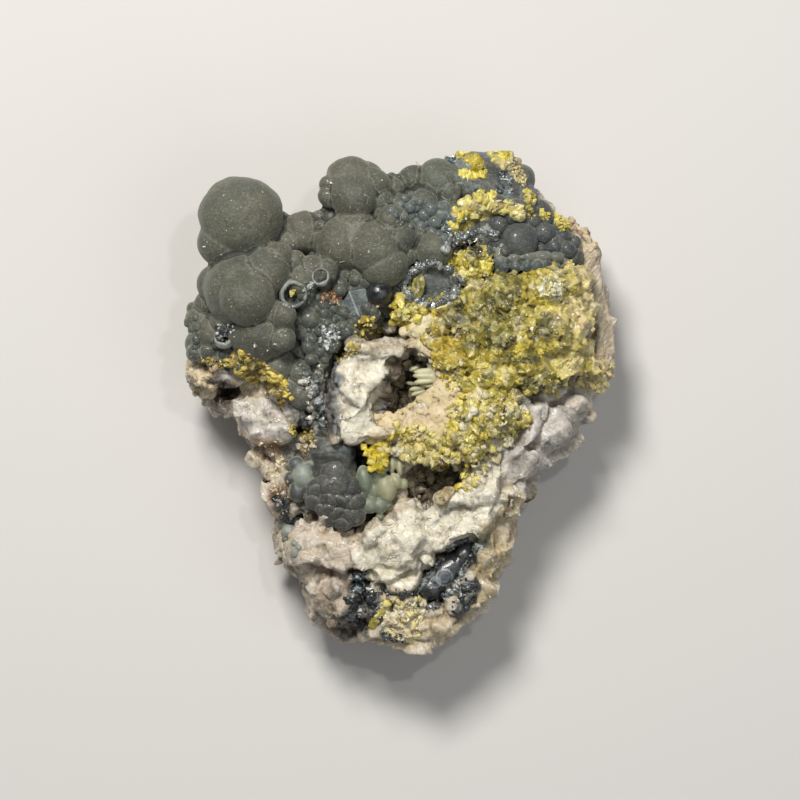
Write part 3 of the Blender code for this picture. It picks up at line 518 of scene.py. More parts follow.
class Value:
    """A number inside a finish, which can be added, taken away and multiplied."""

    def __init__(self, finish, socket):
        self.finish = finish
        self.socket = socket

    def maths(self, operation, first, second):
        """Two numbers or sockets joined by an operation."""
        node = self.finish.node("ShaderNodeMath", {"operation": operation}, {0: first, 1: second})
        return Value(self.finish, node.outputs[0])

    def __add__(self, other):
        return self.maths("ADD", self, other)

    def __sub__(self, other):
        return self.maths("SUBTRACT", self, other)

    def __rsub__(self, other):
        return self.maths("SUBTRACT", other, self)

    def __mul__(self, other):
        return self.maths("MULTIPLY", self, other)

    __radd__ = __add__
    __rmul__ = __mul__

    def ramp(self, low, high):
        """0 below the low value, 1 above the high one, even between them."""
        node = self.finish.node("ShaderNodeMapRange", {"clamp": True},
                                {0: self, 1: low, 2: high, 3: 0.0, 4: 1.0})
        return Value(self.finish, node.outputs[0])


class Finish:
    """A material built up from noise, attributes and colours."""

    def __init__(self, name, **constants):
        self.material = bpy.data.materials.new(name)
        self.material.use_nodes = True
        self.tree = self.material.node_tree
        self.shader = self.tree.nodes["Principled BSDF"]
        for key, value in constants.items():
            self.shader.inputs[key.replace("_", " ")].default_value = value
        self.shader.inputs["Subsurface Radius"].default_value = (1.0, 0.9, 0.75)
        self.place = self.node("ShaderNodeTexCoord").outputs["Object"]

    def node(self, kind, settings=None, inputs=None):
        """A node of a type, with its settings, then its sockets' values or links."""
        node = self.tree.nodes.new(kind)
        for key, value in (settings or {}).items():
            setattr(node, key, value)
        for key, value in (inputs or {}).items():
            value = getattr(value, "socket", value)
            if isinstance(value, bpy.types.NodeSocket):
                self.tree.links.new(value, node.inputs[key])
            else:
                node.inputs[key].default_value = value
        return node

    def noise(self, size, detail=3.0, rough=0.55, stretch=None):
        """Soft noise, its swells about the size given in millimetres, drawn out along a turned line."""
        place = self.place
        if stretch is not None:
            turn, length = stretch
            drawn = self.node("ShaderNodeMapping", {"vector_type": "TEXTURE"},
                              {"Vector": place, "Rotation": (0.3, 0.2, turn), "Scale": (length, 1.0, 1.0)})
            place = drawn.outputs[0]
        node = self.node("ShaderNodeTexNoise", None,
                         {"Vector": place, "Scale": 1.0 / (size * MM), "Detail": detail,
                          "Roughness": rough})
        return Value(self, node.outputs[0])

    def cells(self, size, feature="F1", output="Distance"):
        """Broken cells of about the size given, in millimetres."""
        node = self.node("ShaderNodeTexVoronoi", {"feature": feature},
                         {"Vector": self.place, "Scale": 1.0 / (size * MM)})
        return Value(self, node.outputs[output])

    def facets(self, size):
        """Flat faces about the size given, each tilted its own way: a height in millimetres."""
        cell = self.node("ShaderNodeTexVoronoi", None, {"Vector": self.place, "Scale": 1.0 / (size * MM)})
        away = self.node("ShaderNodeVectorMath", {"operation": "SUBTRACT"},
                         {0: self.place, 1: cell.outputs["Position"]})
        way = self.node("ShaderNodeVectorMath", {"operation": "SUBTRACT"},
                        {0: cell.outputs["Color"], 1: (0.5, 0.5, 0.5)})
        height = self.node("ShaderNodeVectorMath", {"operation": "DOT_PRODUCT"},
                           {0: away.outputs[0], 1: way.outputs[0]})
        return Value(self, height.outputs["Value"]) * (1.0 / MM)

    def layer(self, name):
        """A number kept at the points of the piece."""
        node = self.node("ShaderNodeAttribute", {"attribute_name": name})
        return Value(self, node.outputs["Fac"])

    def tint(self):
        """The colour kept at the points of the piece."""
        return self.node("ShaderNodeAttribute", {"attribute_name": "tint"}).outputs["Color"]

    def lay(self, color, *layers):
        """A colour with others laid over it, each by its share."""
        for other, share in layers:
            first, second = (part if isinstance(part, bpy.types.NodeSocket) else (*part, 1.0)
                             for part in (color, other))
            color = self.node("ShaderNodeMix", {"data_type": "RGBA"},
                              {0: share, 6: first, 7: second}).outputs[2]
        return color

    def bump(self, height, depth):
        """Fine relief in the surface, its depth in millimetres."""
        node = self.node("ShaderNodeBump", None, {"Height": height, "Strength": 1.0, "Distance": depth * MM})
        self.tree.links.new(node.outputs[0], self.shader.inputs["Normal"])

    def finish(self, color=None, roughness=None, coat=None):
        """Join the colour and the gloss to the shader."""
        for key, value in (("Base Color", color), ("Roughness", roughness), ("Coat Weight", coat)):
            if value is not None:
                self.tree.links.new(getattr(value, "socket", value), self.shader.inputs[key])
        return self.material


def dress(piece, material, slot, *nodes):
    """Finish a piece: its material, and the solids that it stands for, which are hidden. The slot is not
    used.
    """
    piece.data.materials.clear()
    piece.data.materials.append(material)
    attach(piece, "root")
    if nodes:
        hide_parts(*nodes)


# ---------------------------------------------------------------- finishes: the specimen's

def rock_finish():
    """Broken quartz: sugary white to beige, a little see-through, with thin stains and dirt, painted shade
    in its creases and a painted highlight on its crests.
    """
    look = Finish("quartz_rock", IOR=1.54, Subsurface_Weight=0.14, Subsurface_Scale=0.0010)
    cloud = look.noise(2.2, 6.0, 0.66)
    sugar = look.noise(0.5, 4.0, 0.7)
    facets = look.cells(0.8, output="Color")
    cracks = 1.0 - look.cells(2.4, "DISTANCE_TO_EDGE").ramp(0.0, 0.035)
    cracks = cracks * look.noise(1.8, 2.0).ramp(0.48, 0.58)
    vein = look.noise(4.0, 4.0, 0.6)
    vein = vein.ramp(0.488, 0.5) * (1.0 - vein.ramp(0.5, 0.512)) * look.noise(3.0, 2.0).ramp(0.48, 0.60)
    grain = look.layer("grain")
    streaks = look.noise(0.32, 5.0, 0.65, (0.85, 9.0))
    color = look.lay(look.tint(),
                     (tone(234, 230, 222), cloud.ramp(0.50, 0.68) * 0.385),
                     (tone(150, 136, 110), (1.0 - cloud).ramp(0.50, 0.70) * 0.27),
                     (tone(140, 124, 96), (1.0 - sugar).ramp(0.54, 0.72) * 0.15),
                     (tone(240, 238, 230), facets.ramp(0.55, 0.95) * 0.36),
                     (tone(168, 158, 138), (1.0 - facets).ramp(0.60, 0.90) * 0.30),
                     (tone(134, 112, 82), cracks * 0.49),
                     # Painted shade: brown darkening in the creases.
                     (tone(92, 72, 48), look.layer("crease").ramp(0.10, 0.50) * 0.49),
                     # Painted highlight: paler on the crests.
                     (tone(238, 234, 226), look.layer("crest").ramp(0.04, 0.22) * 0.30),
                     (tone(158, 118, 70), vein * 0.64),
                     (tone(132, 100, 70), streaks.ramp(0.50, 0.66) * grain * 0.8),
                     (tone(228, 218, 198), (1.0 - streaks).ramp(0.52, 0.66) * grain * 0.9))
    look.bump(look.facets(1.9) * 0.55 + look.facets(0.8) * 0.50 + look.facets(0.35) * 0.34 + sugar * 0.06
              - cracks * 0.05 + streaks * grain * 0.35 - vein * 0.06, 1.0)
    return look.finish(color, 0.52 - facets.ramp(0.40, 0.80) * 0.40 * look.layer("gloss"))


def cream_finish():
    """Thin cream crust: dull and chalky, pitted through to reddish-brown specks."""
    look = Finish("cream_crust", IOR=1.5, Subsurface_Weight=0.1, Subsurface_Scale=0.0006)
    cloud = look.noise(1.6, 5.0, 0.65)
    fine = look.noise(0.4, 4.0, 0.7)
    pits = look.noise(0.55, 3.0, 0.6)
    color = look.lay(look.tint(),
                     (tone(236, 226, 198), cloud.ramp(0.50, 0.68) * 0.42),
                     (tone(176, 138, 96), (1.0 - cloud).ramp(0.50, 0.68) * 0.36),
                     (tone(196, 182, 112), fine.ramp(0.54, 0.68) * 0.35),
                     (tone(104, 58, 36), pits.ramp(0.62, 0.68) * look.noise(2.0, 2.0).ramp(0.48, 0.58)),
                     # Painted shade: dark brown in the creases.
                     (tone(88, 62, 40), look.layer("crease").ramp(0.04, 0.30) * 0.8))
    look.bump(fine * 0.9 - pits.ramp(0.58, 0.68) * 0.7, 0.16)
    return look.finish(color, 0.5 + 0.3 * fine)


def grey_finish():
    """Grey-green plumbogummite: waxy and smooth, with dust specks, painted shade in its creases and a
    painted pale sheen just beside them.
    """
    look = Finish("grey_plumbogummite", IOR=1.55, Specular_IOR_Level=0.4, Sheen_Weight=0.10,
                  Sheen_Roughness=0.5)
    cloud = look.noise(2.2, 4.0, 0.6)
    fine = look.noise(0.35, 3.0, 0.65)
    specks = 1.0 - look.cells(0.62).ramp(0.04, 0.10)
    crease = look.layer("crease")
    # A painted sheen: a pale band just outside each crease.
    crease_rim_sheen = crease.ramp(0.015, 0.05) * (1.0 - crease.ramp(0.07, 0.14))
    color = look.lay(look.tint(),
                     (tone(112, 108, 92), cloud.ramp(0.45, 0.70) * 0.30),
                     (tone(40, 46, 46), (1.0 - cloud).ramp(0.5, 0.75) * 0.225),
                     (tone(146, 146, 130), fine.ramp(0.52, 0.70) * 0.36),
                     (tone(38, 42, 38), (1.0 - fine).ramp(0.52, 0.70) * 0.36),
                     (tone(188, 186, 172), specks * look.noise(1.1, 2.0).ramp(0.52, 0.62) * 0.75),
                     (tone(158, 160, 146), crease_rim_sheen * 0.22),
                     # Painted shade: near-black in the creases.
                     (tone(24, 27, 27), crease.ramp(0.09, 0.34) * 0.75))
    look.bump(look.noise(0.28, 3.0) * 0.9 + look.noise(0.9, 2.0) * 1.0, 0.12)
    return look.finish(color, 0.56 + 0.16 * fine - 0.20 * look.layer("gloss"), look.layer("gloss") * 0.6)


def yellow_finish():
    """Yellow to olive pyromorphite: resinous crystals with a wet gloss."""
    look = Finish("yellow_pyromorphite", IOR=1.65, Specular_IOR_Level=0.5, Subsurface_Weight=0.20,
                  Subsurface_Scale=0.0006, Coat_Roughness=0.15, Coat_IOR=1.5)
    cloud = look.noise(1.6, 4.0, 0.6)
    fine = look.noise(0.30, 3.0, 0.6)
    crystals = look.cells(1.2, output="Color")
    color = look.lay(look.tint(),
                     (tone(246, 226, 92), cloud.ramp(0.50, 0.75) * 0.27),
                     (tone(112, 104, 36), (1.0 - cloud).ramp(0.52, 0.75) * 0.27),
                     (tone(228, 222, 190), fine.ramp(0.56, 0.74) * 0.18),
                     (tone(232, 224, 150), crystals.ramp(0.56, 0.72) * 0.27),
                     (tone(96, 90, 40), (1.0 - crystals).ramp(0.56, 0.72) * 0.36),
                     (tone(92, 92, 52), look.noise(1.4, 3.0).ramp(0.54, 0.68) * 0.36),
                     # Painted shade: dark olive in the creases.
                     (tone(42, 36, 12), look.layer("crease").ramp(0.04, 0.30) * 0.9))
    look.bump(look.facets(1.0) * 0.34 + look.facets(0.4) * 0.30 + fine * 0.06, 1.0)
    return look.finish(color, 0.30 + 0.42 * cloud * fine.ramp(0.25, 0.8),
                       look.cells(0.7, output="Color").ramp(0.55, 0.9) * 0.4)


def pale_finish():
    """Pale green to blue-grey plumbogummite in rounded lobes: waxy, with soft edges."""
    look = Finish("pale_plumbogummite", IOR=1.6, Subsurface_Weight=0.18, Subsurface_Scale=0.001,
                  Specular_IOR_Level=0.5)
    cloud = look.noise(1.3, 4.0, 0.6)
    fine = look.noise(0.25, 3.0, 0.6)
    color = look.lay(look.tint(),
                     (tone(206, 212, 186), cloud.ramp(0.50, 0.75) * 0.20),
                     (tone(44, 52, 50), (1.0 - cloud).ramp(0.52, 0.75) * 0.175),
                     # Painted shade: near-black in the creases.
                     (tone(28, 30, 26), look.layer("crease").ramp(0.02, 0.24) * 0.75))
    look.bump(fine * 0.6 + look.noise(0.7, 2.0) * 0.6, 0.05)
    return look.finish(color, 0.36 + 0.3 * fine)


def lens_finish():
    """Black glassy crust with a few pale growth rings."""
    look = Finish("black_lens_glass", IOR=1.55, Coat_Weight=0.3, Coat_Roughness=0.15)
    cloud = look.noise(1.4, 4.0, 0.6)
    color = look.lay(tone(25, 27, 28), (tone(70, 75, 76), cloud.ramp(0.40, 0.75)),
                     (tone(150, 160, 164), look.layer("rings") * 0.7))
    look.bump(look.noise(0.8, 3.0) * 0.08 + look.noise(0.2, 2.0) * 0.02 + look.facets(0.9) * 0.14, 1.0)
    return look.finish(color, 0.24 + 0.35 * cloud.ramp(0.45, 0.7))


def crystal_finish():
    """Smoky quartz crystals: brown glass, darker in its clouds."""
    look = Finish("smoky_crystal", IOR=1.54, Subsurface_Weight=0.1, Subsurface_Scale=0.0006,
                  Coat_Weight=0.2, Coat_Roughness=0.1)
    cloud = look.noise(0.9, 4.0, 0.6)
    color = look.lay(look.tint(), (tone(188, 176, 146), cloud.ramp(0.52, 0.75) * 0.30),
                     (tone(30, 22, 14), (1.0 - cloud).ramp(0.45, 0.7) * 0.49))
    look.bump(look.noise(0.35, 3.0), 0.06)
    return look.finish(color, 0.15 + 0.4 * look.noise(0.3, 2.0).ramp(0.3, 0.8))


def rim_finish():
    """Glassy grey crystal rims with sharp glints."""
    look = Finish("glassy_rim", IOR=1.7, Coat_Weight=0.6, Coat_Roughness=0.05)
    cloud = look.noise(0.7, 3.0, 0.65)
    color = look.lay(look.tint(), (tone(196, 200, 196), cloud.ramp(0.54, 0.70) * 0.56),
                     (tone(18, 20, 22), (1.0 - cloud).ramp(0.5, 0.68) * 0.8))
    look.bump(look.cells(0.45) + look.noise(0.25, 2.0) * 0.5, 0.12)
    return look.finish(color, 0.10 + 0.3 * look.noise(0.3, 2.0).ramp(0.3, 0.7))


# ---------------------------------------------------------------- places of the growths, in millimetres

# Balls: x, y, z, radius. Lobes: x, y, z, three half-lengths, turn about z in degrees.
GREY_BALLS = [
    (-22.0, 25.4, 20.6, 5.9), (-23.7, 22.5, 20.2, 4.4), (-25.5, 16.5, 20.2, 2.7), (-22.0, 15.4, 22.4, 5.2),
    (-20.9, 14.3, 25.7, 3.8), (-16.8, 20.2, 23.4, 2.0), (-14.5, 19.4, 22.5, 1.5), (-18.4, 18.0, 23.6, 3.3),
    (-19.3, 10.3, 21.4, 4.9), (-16.1, 12.0, 25.1, 1.9), (-16.2, 8.6, 24.4, 1.9), (-12.2, 18.4, 22.2, 1.9),
    (-10.2, 18.2, 22.2, 1.6), (-13.6, 16.6, 22.6, 2.2), (-27.6, 11.4, 18.6, 2.0), (-27.8, 8.2, 17.8, 1.9),
    (-25.7, 9.6, 19.4, 2.5), (-24.6, 6.6, 18.8, 2.0), (-14.0, 4.2, 20.6, 1.8), (-15.2, 2.1, 20.2, 1.8),
    (-13.6, 1.2, 19.8, 2.1), (-21.5, 6.4, 19.4, 2.6), (-17.0, 5.0, 20.2, 2.6), (-26.6, 13.6, 19.0, 2.0),
    (-13.3, 23.7, 18.4, 3.2), (-11.2, 25.8, 19.2, 1.3), (-15.6, 22.2, 19.4, 2.0), (-16.6, 25.0, 17.6, 1.8),
    (-7.0, 30.7, 18.8, 3.6), (-6.4, 28.4, 21.0, 3.3), (-9.8, 30.1, 20.2, 1.5), (-9.8, 28.4, 20.3, 1.7),
    (-3.9, 29.8, 19.4, 2.8), (-2.9, 28.1, 19.8, 2.1), (-4.6, 31.2, 18.4, 2.4), (-7.7, 22.0, 20.4, 3.9),
    (-3.4, 21.3, 21.7, 3.8), (-0.7, 23.3, 21.2, 3.1), (-1.0, 25.2, 22.4, 2.2), (-2.1, 19.0, 21.6, 3.3),
    (-10.2, 22.6, 19.8, 2.3), (-6.3, 24.8, 20.6, 2.8), (-4.4, 16.4, 21.2, 1.3), (-7.8, 18.2, 19.8, 2.1),
    (-5.6, 17.9, 20.6, 1.7), (-9.6, 20.0, 19.8, 2.1), (-0.7, 29.7, 18.5, 1.7), (-0.4, 27.6, 19.3, 1.7),
    (1.7, 31.1, 17.8, 2.2), (5.2, 30.6, 17.8, 3.3), (3.4, 27.9, 19.6, 2.1), (6.9, 29.0, 19.6, 1.6),
    (7.2, 26.5, 19.8, 1.1), (1.8, 27.2, 20.8, 1.0), (2.9, 25.7, 19.6, 1.5), (4.6, 21.2, 20.4, 2.6),
    (2.1, 23.2, 19.8, 2.0), (1.1, 25.9, 19.8, 1.4), (-2.9, 15.0, 20.8, 1.8), (0.6, 20.6, 20.2, 1.9),
    (-3.0, 26.4, 19.4, 2.2), (4.8, 24.4, 19.0, 1.7), (6.6, 22.8, 19.2, 1.5), (-23.4, 11.6, 21.0, 2.8),
]
# Where a front ball runs smoothly into the one behind it: x, y, z, reach.
MELTS = [(-22.0, 16.6, 28.0, 3.6), (-6.8, 30.2, 23.0, 3.0), (-23.2, 24.4, 25.6, 3.4),
         (-5.6, 23.2, 24.4, 2.6), (-18.0, 12.6, 25.0, 2.2), (-2.0, 22.4, 25.0, 2.4)]
# Low swells that close the crust between its balls.
CRUST_SWELLS = [
    (-19.5, 11.5, 18.0, 7.0, 8.5, 3.4, 0), (-9.0, 13.0, 18.2, 7.0, 5.5, 2.6, 0),
    (-13.5, 5.5, 17.6, 4.5, 5.0, 2.4, 0), (-6.0, 23.5, 18.2, 8.0, 5.5, 3.0, 15),
    (6.5, 26.0, 16.8, 8.0, 5.0, 2.4, 10), (14.5, 24.8, 15.8, 6.0, 4.6, 2.4, -35),
    (5.5, 18.0, 17.6, 5.5, 5.0, 2.4, 0), (12.5, 20.0, 17.2, 5.0, 3.5, 2.4, 0),
    (14.0, 19.6, 18.8, 1.4, 3.0, 1.6, 0), (-1.0, 14.6, 18.0, 3.6, 3.0, 2.2, 0),
]
# The smoother crust of the broad corner: its outer rim, its ridge and the hollow before it.
CORNER_LOBES = [
    (9.4, 32.8, 16.6, 3.2, 1.8, 2.5, 15), (13.6, 32.8, 16.6, 3.0, 1.8, 2.3, -10),
    (16.8, 30.8, 16.2, 1.9, 2.2, 2.2, 0), (13.3, 29.6, 17.4, 4.4, 2.2, 2.3, -8),
    (17.2, 28.2, 16.8, 2.0, 2.4, 2.2, 0), (9.0, 30.0, 17.8, 2.4, 1.9, 2.2, 0),
    (6.8, 24.4, 19.0, 1.3, 1.2, 1.6, 45), (8.4, 26.2, 19.4, 1.5, 1.3, 1.8, 50),
    (10.6, 27.6, 19.6, 1.6, 1.4, 1.8, 30), (13.2, 27.5, 19.5, 2.0, 1.3, 1.7, 0),
    (16.2, 26.9, 18.7, 2.0, 1.2, 1.7, -8), (22.0, 21.8, 16.4, 2.6, 1.8, 2.0, -30),
    (24.2, 20.4, 15.6, 1.6, 1.6, 1.8, -40), (20.0, 26.6, 16.0, 2.4, 1.2, 1.9, -45),
    (22.0, 24.6, 15.8, 2.0, 1.3, 1.8, -45), (11.8, 22.0, 17.8, 1.2, 2.2, 1.8, 10),
]
HOLLOW_BALLS = [
    (16.4, 22.6, 16.6, 3.1), (13.8, 24.4, 17.0, 1.7), (19.4, 23.6, 16.4, 1.7), (13.6, 22.0, 16.8, 1.4),
    (19.6, 21.6, 16.4, 1.4), (17.6, 25.2, 17.2, 1.3), (15.2, 25.4, 17.6, 1.1), (11.6, 24.8, 18.0, 1.2),
]
LIP_LOBES = [
    (12.0, 20.9, 19.1, 1.2, 0.8, 1.2, -20), (13.8, 20.2, 19.2, 1.2, 0.8, 1.2, 0),
    (15.8, 20.0, 19.2, 1.2, 0.8, 1.1, 10), (17.8, 20.2, 19.0, 1.2, 0.8, 1.2, 0),
    (19.8, 20.3, 18.6, 1.3, 0.8, 1.2, -5), (21.8, 20.1, 18.0, 1.1, 0.8, 1.2, -15),
    (23.2, 19.2, 17.3, 0.9, 0.8, 1.1, -40), (11.2, 22.6, 19.3, 0.8, 1.5, 1.2, 10),
]
TEAL_BALLS = [
    (13.2, 19.2, 19.3, 0.85), (14.6, 18.8, 19.5, 0.8), (16.0, 18.7, 19.6, 0.85), (17.5, 18.8, 19.5, 0.8),
    (18.9, 18.9, 19.2, 0.85), (20.3, 18.9, 18.8, 0.8), (21.7, 18.4, 18.2, 0.8), (12.2, 18.2, 19.0, 0.8),
    (11.8, 16.8, 19.2, 0.8),
]
# Low rings under the two glassy rims between the grey and the yellow crust: x, y, z, radius.
RIM_BEADS = [
    (0.7, 16.4, 19.6, 0.9), (1.4, 17.8, 19.8, 0.8), (2.8, 18.5, 19.9, 0.8), (4.6, 18.7, 19.9, 0.8),
    (6.4, 18.2, 19.9, 0.8), (7.8, 17.0, 19.8, 0.8), (7.9, 15.5, 19.8, 0.8), (6.7, 14.5, 19.8, 0.8),
    (5.0, 14.0, 19.9, 0.8), (3.2, 14.0, 19.9, 0.8), (1.7, 14.8, 19.8, 0.8),
    (7.0, 22.0, 19.6, 0.8), (8.4, 22.6, 19.6, 0.9), (10.0, 23.0, 19.6, 0.9), (11.6, 23.3, 19.5, 0.9),
    (12.9, 23.0, 19.3, 0.8),
]
# Clear round bubbles before the tall balls.
BUBBLES = [
    (-12.5, 11.5, 22.2, 1.5), (-12.6, 7.6, 22.0, 1.1), (-10.9, 7.0, 21.8, 0.9), (-7.3, 9.6, 21.6, 1.2),
    (-10.6, 13.6, 22.0, 1.3), (-8.4, 16.2, 22.0, 1.2), (-9.0, 7.8, 21.6, 0.9), (-11.4, 4.6, 21.2, 1.3),
    (-6.2, 16.8, 22.0, 0.9), (-13.8, 14.0, 22.4, 1.0), (-4.6, 13.0, 21.6, 1.0), (-12.4, 5.9, 21.6, 0.8),
    (-10.6, 2.6, 20.8, 1.0), (-6.0, 11.2, 21.4, 0.9), (-13.6, 9.4, 22.2, 0.9), (-7.8, 12.4, 21.8, 1.0),
]
# The valley of small bubbles before the tall balls, and the edges where smaller ones crowd.
BUBBLE_VALLEY = [(-14.6, 11.0), (-13.4, 16.0), (-9.0, 17.4), (-4.6, 15.4), (-3.4, 12.6), (-5.6, 9.6),
                 (-8.6, 8.6), (-10.4, 5.4), (-11.2, 2.4), (-13.2, 2.6), (-12.4, 6.4)]
BLUE_VALLEY = [(-1.6, 26.8), (1.6, 28.8), (5.4, 27.2), (7.8, 25.4), (6.4, 22.0), (3.0, 23.8), (0.8, 24.2)]
LEFT_VALLEY = [(-28.4, 12.0), (-25.6, 12.2), (-23.0, 7.0), (-19.6, 4.4), (-24.6, 4.2), (-28.6, 6.4)]

# The yellow granular crust: the swells it is heaped into, x, y, z, radius.
YELLOW_SWELLS = [
    (7.6, 11.2, 20.2, 2.9), (10.9, 13.4, 20.2, 3.1), (15.1, 14.3, 20.6, 3.4), (20.3, 15.2, 20.4, 3.1),
    (23.6, 15.4, 18.6, 2.2), (23.6, 11.5, 18.6, 3.0), (20.2, 10.1, 20.4, 3.9), (15.1, 8.7, 21.4, 3.9),
    (9.8, 6.6, 21.2, 3.0), (17.5, 4.2, 20.4, 3.2), (12.6, 2.8, 21.2, 3.1), (22.2, 5.6, 18.6, 2.8),
    (10.4, -2.2, 22.0, 2.3), (14.2, -1.2, 21.0, 2.5), (25.0, 6.6, 16.4, 2.3), (10.2, 10.0, 20.6, 3.0),
    (5.6, 12.6, 20.2, 2.0), (4.6, 8.6, 21.8, 1.8), (6.9, 5.6, 22.0, 2.0), (26.6, 4.4, 14.8, 1.9),
    (9.0, -5.0, 22.0, 1.8), (12.0, 0.2, 21.6, 2.6), (1.6, 12.6, 20.6, 1.7), (19.2, 17.2, 18.8, 1.7),
    (9.2, 19.0, 20.0, 1.9), (24.4, 17.6, 17.6, 1.7),
]

# The lower crust. A dark panel, scales in a fan, pale fingers and lobes, and small balls at its edge.
PANEL_LOBES = [
    (-9.4, -6.8, 18.6, 3.3, 2.9, 2.1, 0), (-9.2, -9.2, 18.4, 3.3, 2.4, 2.0, 6),
    (-11.0, -5.4, 18.2, 1.9, 1.6, 1.8, 0), (-7.8, -7.6, 18.4, 1.6, 3.1, 2.2, 0),
    (-7.4, -6.6, 20.1, 0.9, 0.9, 0.8, 0),
]
FAN_LOBES = [
    (-9.1, -11.6, 19.4, 2.6, 1.9, 1.7, 10), (-6.9, -11.9, 19.0, 1.9, 1.9, 1.7, 0),
    (-11.4, -12.0, 18.9, 1.8, 1.6, 1.6, 25), (-11.9, -13.6, 18.7, 1.4, 1.5, 1.4, 10),
    (-9.7, -13.4, 20.0, 1.4, 1.2, 1.2, 0), (-8.3, -13.2, 20.1, 1.1, 1.1, 1.1, 0),
    (-6.6, -14.0, 19.6, 1.6, 1.5, 1.3, 0), (-9.4, -14.9, 19.7, 1.3, 1.2, 1.1, 0),
    (-8.0, -15.0, 19.6, 1.2, 1.2, 1.0, 0), (-9.3, -16.3, 19.2, 1.1, 1.0, 0.9, 0),
    (-6.4, -15.8, 19.0, 1.7, 1.5, 1.2, 0), (-7.7, -16.8, 18.9, 1.2, 1.1, 1.0, 0),
    (-10.8, -15.0, 19.1, 0.9, 1.0, 1.0, 0), (-5.4, -13.2, 19.0, 1.2, 1.4, 1.2, 0),
]
# Shells that lie over the fan like scales: x, y, radius.
FAN_SHELLS = [
    (-9.2, -12.4, 1.5), (-7.4, -12.6, 1.4), (-11.2, -12.7, 1.2), (-12.0, -14.0, 1.0), (-10.0, -13.8, 1.1),
    (-8.6, -14.0, 1.2), (-7.2, -14.4, 1.4), (-5.8, -14.0, 1.1), (-9.9, -15.2, 1.0), (-8.7, -15.6, 1.0),
    (-7.3, -16.0, 1.2), (-6.0, -15.8, 1.1), (-9.5, -16.4, 0.8), (-8.3, -16.9, 0.9), (-10.8, -11.6, 1.3),
    (-8.6, -10.8, 1.6), (-6.4, -11.8, 1.2), (-11.0, -15.0, 0.8), (-9.4, -9.8, 1.5), (-7.2, -10.4, 1.3),
]
# Round shells on the floor of the corner's hollow: x, y, radius.
HOLLOW_SHELLS = [
    (16.6, 22.4, 2.6), (20.2, 23.6, 1.5), (13.7, 24.6, 1.4), (18.6, 25.2, 1.2), (21.4, 21.6, 1.2),
    (13.4, 22.2, 1.2), (19.4, 21.4, 1.1), (15.4, 25.6, 1.1), (22.8, 23.2, 1.1), (11.7, 24.4, 1.0),
    (23.4, 21.2, 1.2), (17.2, 20.9, 0.8), (14.6, 20.9, 0.8), (20.6, 25.4, 0.9), (24.4, 22.4, 0.9),
    (12.2, 20.9, 0.7),
]
FINGER_LOBES = [
    (-4.9, -10.7, 19.6, 1.1, 2.0, 1.3, 10), (-3.3, -10.2, 19.6, 0.9, 1.2, 1.2, 0),
    (-1.0, -8.3, 20.2, 0.55, 1.6, 0.9, -8), (-0.1, -8.7, 20.3, 0.5, 1.5, 0.9, 6),
    (0.7, -7.8, 20.2, 0.5, 1.4, 0.9, 12), (-1.9, -8.7, 19.8, 0.6, 1.2, 0.9, -20),
    (-1.9, -11.9, 19.6, 1.4, 2.0, 1.4, 14), (-0.6, -10.9, 19.8, 0.8, 1.2, 1.0, 30),
    (0.5, -11.4, 19.4, 0.7, 0.8, 0.8, 0), (-4.2, -14.2, 19.0, 1.4, 1.3, 1.2, 0),
    (-2.8, -14.3, 18.9, 1.2, 1.2, 1.1, 0), (-3.6, -12.2, 18.8, 1.2, 1.4, 1.2, 0),
    (1.8, -7.3, 20.2, 0.5, 1.1, 0.8, 24), (-5.2, -12.6, 18.9, 0.9, 1.2, 1.1, 0),
    (-2.8, -15.9, 18.5, 0.6, 0.6, 0.5, 0), (-1.6, -14.2, 19.0, 0.6, 0.7, 0.6, 0),
]
EDGE_LOBES = [
    (-13.4, -10.2, 18.2, 1.5, 1.9, 1.4, 15), (-14.4, -8.6, 17.8, 1.2, 1.1, 1.2, 0),
    (-12.4, -9.0, 18.0, 1.0, 1.0, 1.1, 0), (-12.2, -7.4, 18.8, 0.5, 0.5, 0.5, 0),
    (-12.2, -8.5, 18.8, 0.5, 0.5, 0.5, 0), (-14.2, -12.4, 17.4, 1.3, 1.6, 1.3, 0),
    (-15.2, -10.6, 17.2, 1.0, 1.0, 1.0, 0),
]

GREY = tone(82, 84, 72)
GREY_BROWN = tone(92, 86, 70)
DARK_GREY = tone(60, 64, 63)
TEAL = tone(58, 72, 78)
WHITE_QUARTZ = tone(228, 222, 200)
BEIGE = tone(186, 170, 138)
PINK_CREAM = tone(206, 188, 150)
CREAM = tone(212, 200, 166)
STAIN = tone(118, 84, 54)
VUG_BROWN = tone(80, 70, 54)
MUSTARD = tone(184, 150, 20)
BRIGHT_YELLOW = tone(214, 194, 50)
OLIVE = tone(108, 102, 36)
PALE_YELLOW = tone(214, 202, 122)
# Where the yellow crust thins out over the cream crust.
SCATTERED = [(8, 1), (16.4, 1), (18, -3), (14.4, -6), (11.6, -10), (9.4, -13), (8.4, -12), (9.2, -7),
             (7.4, -5)]
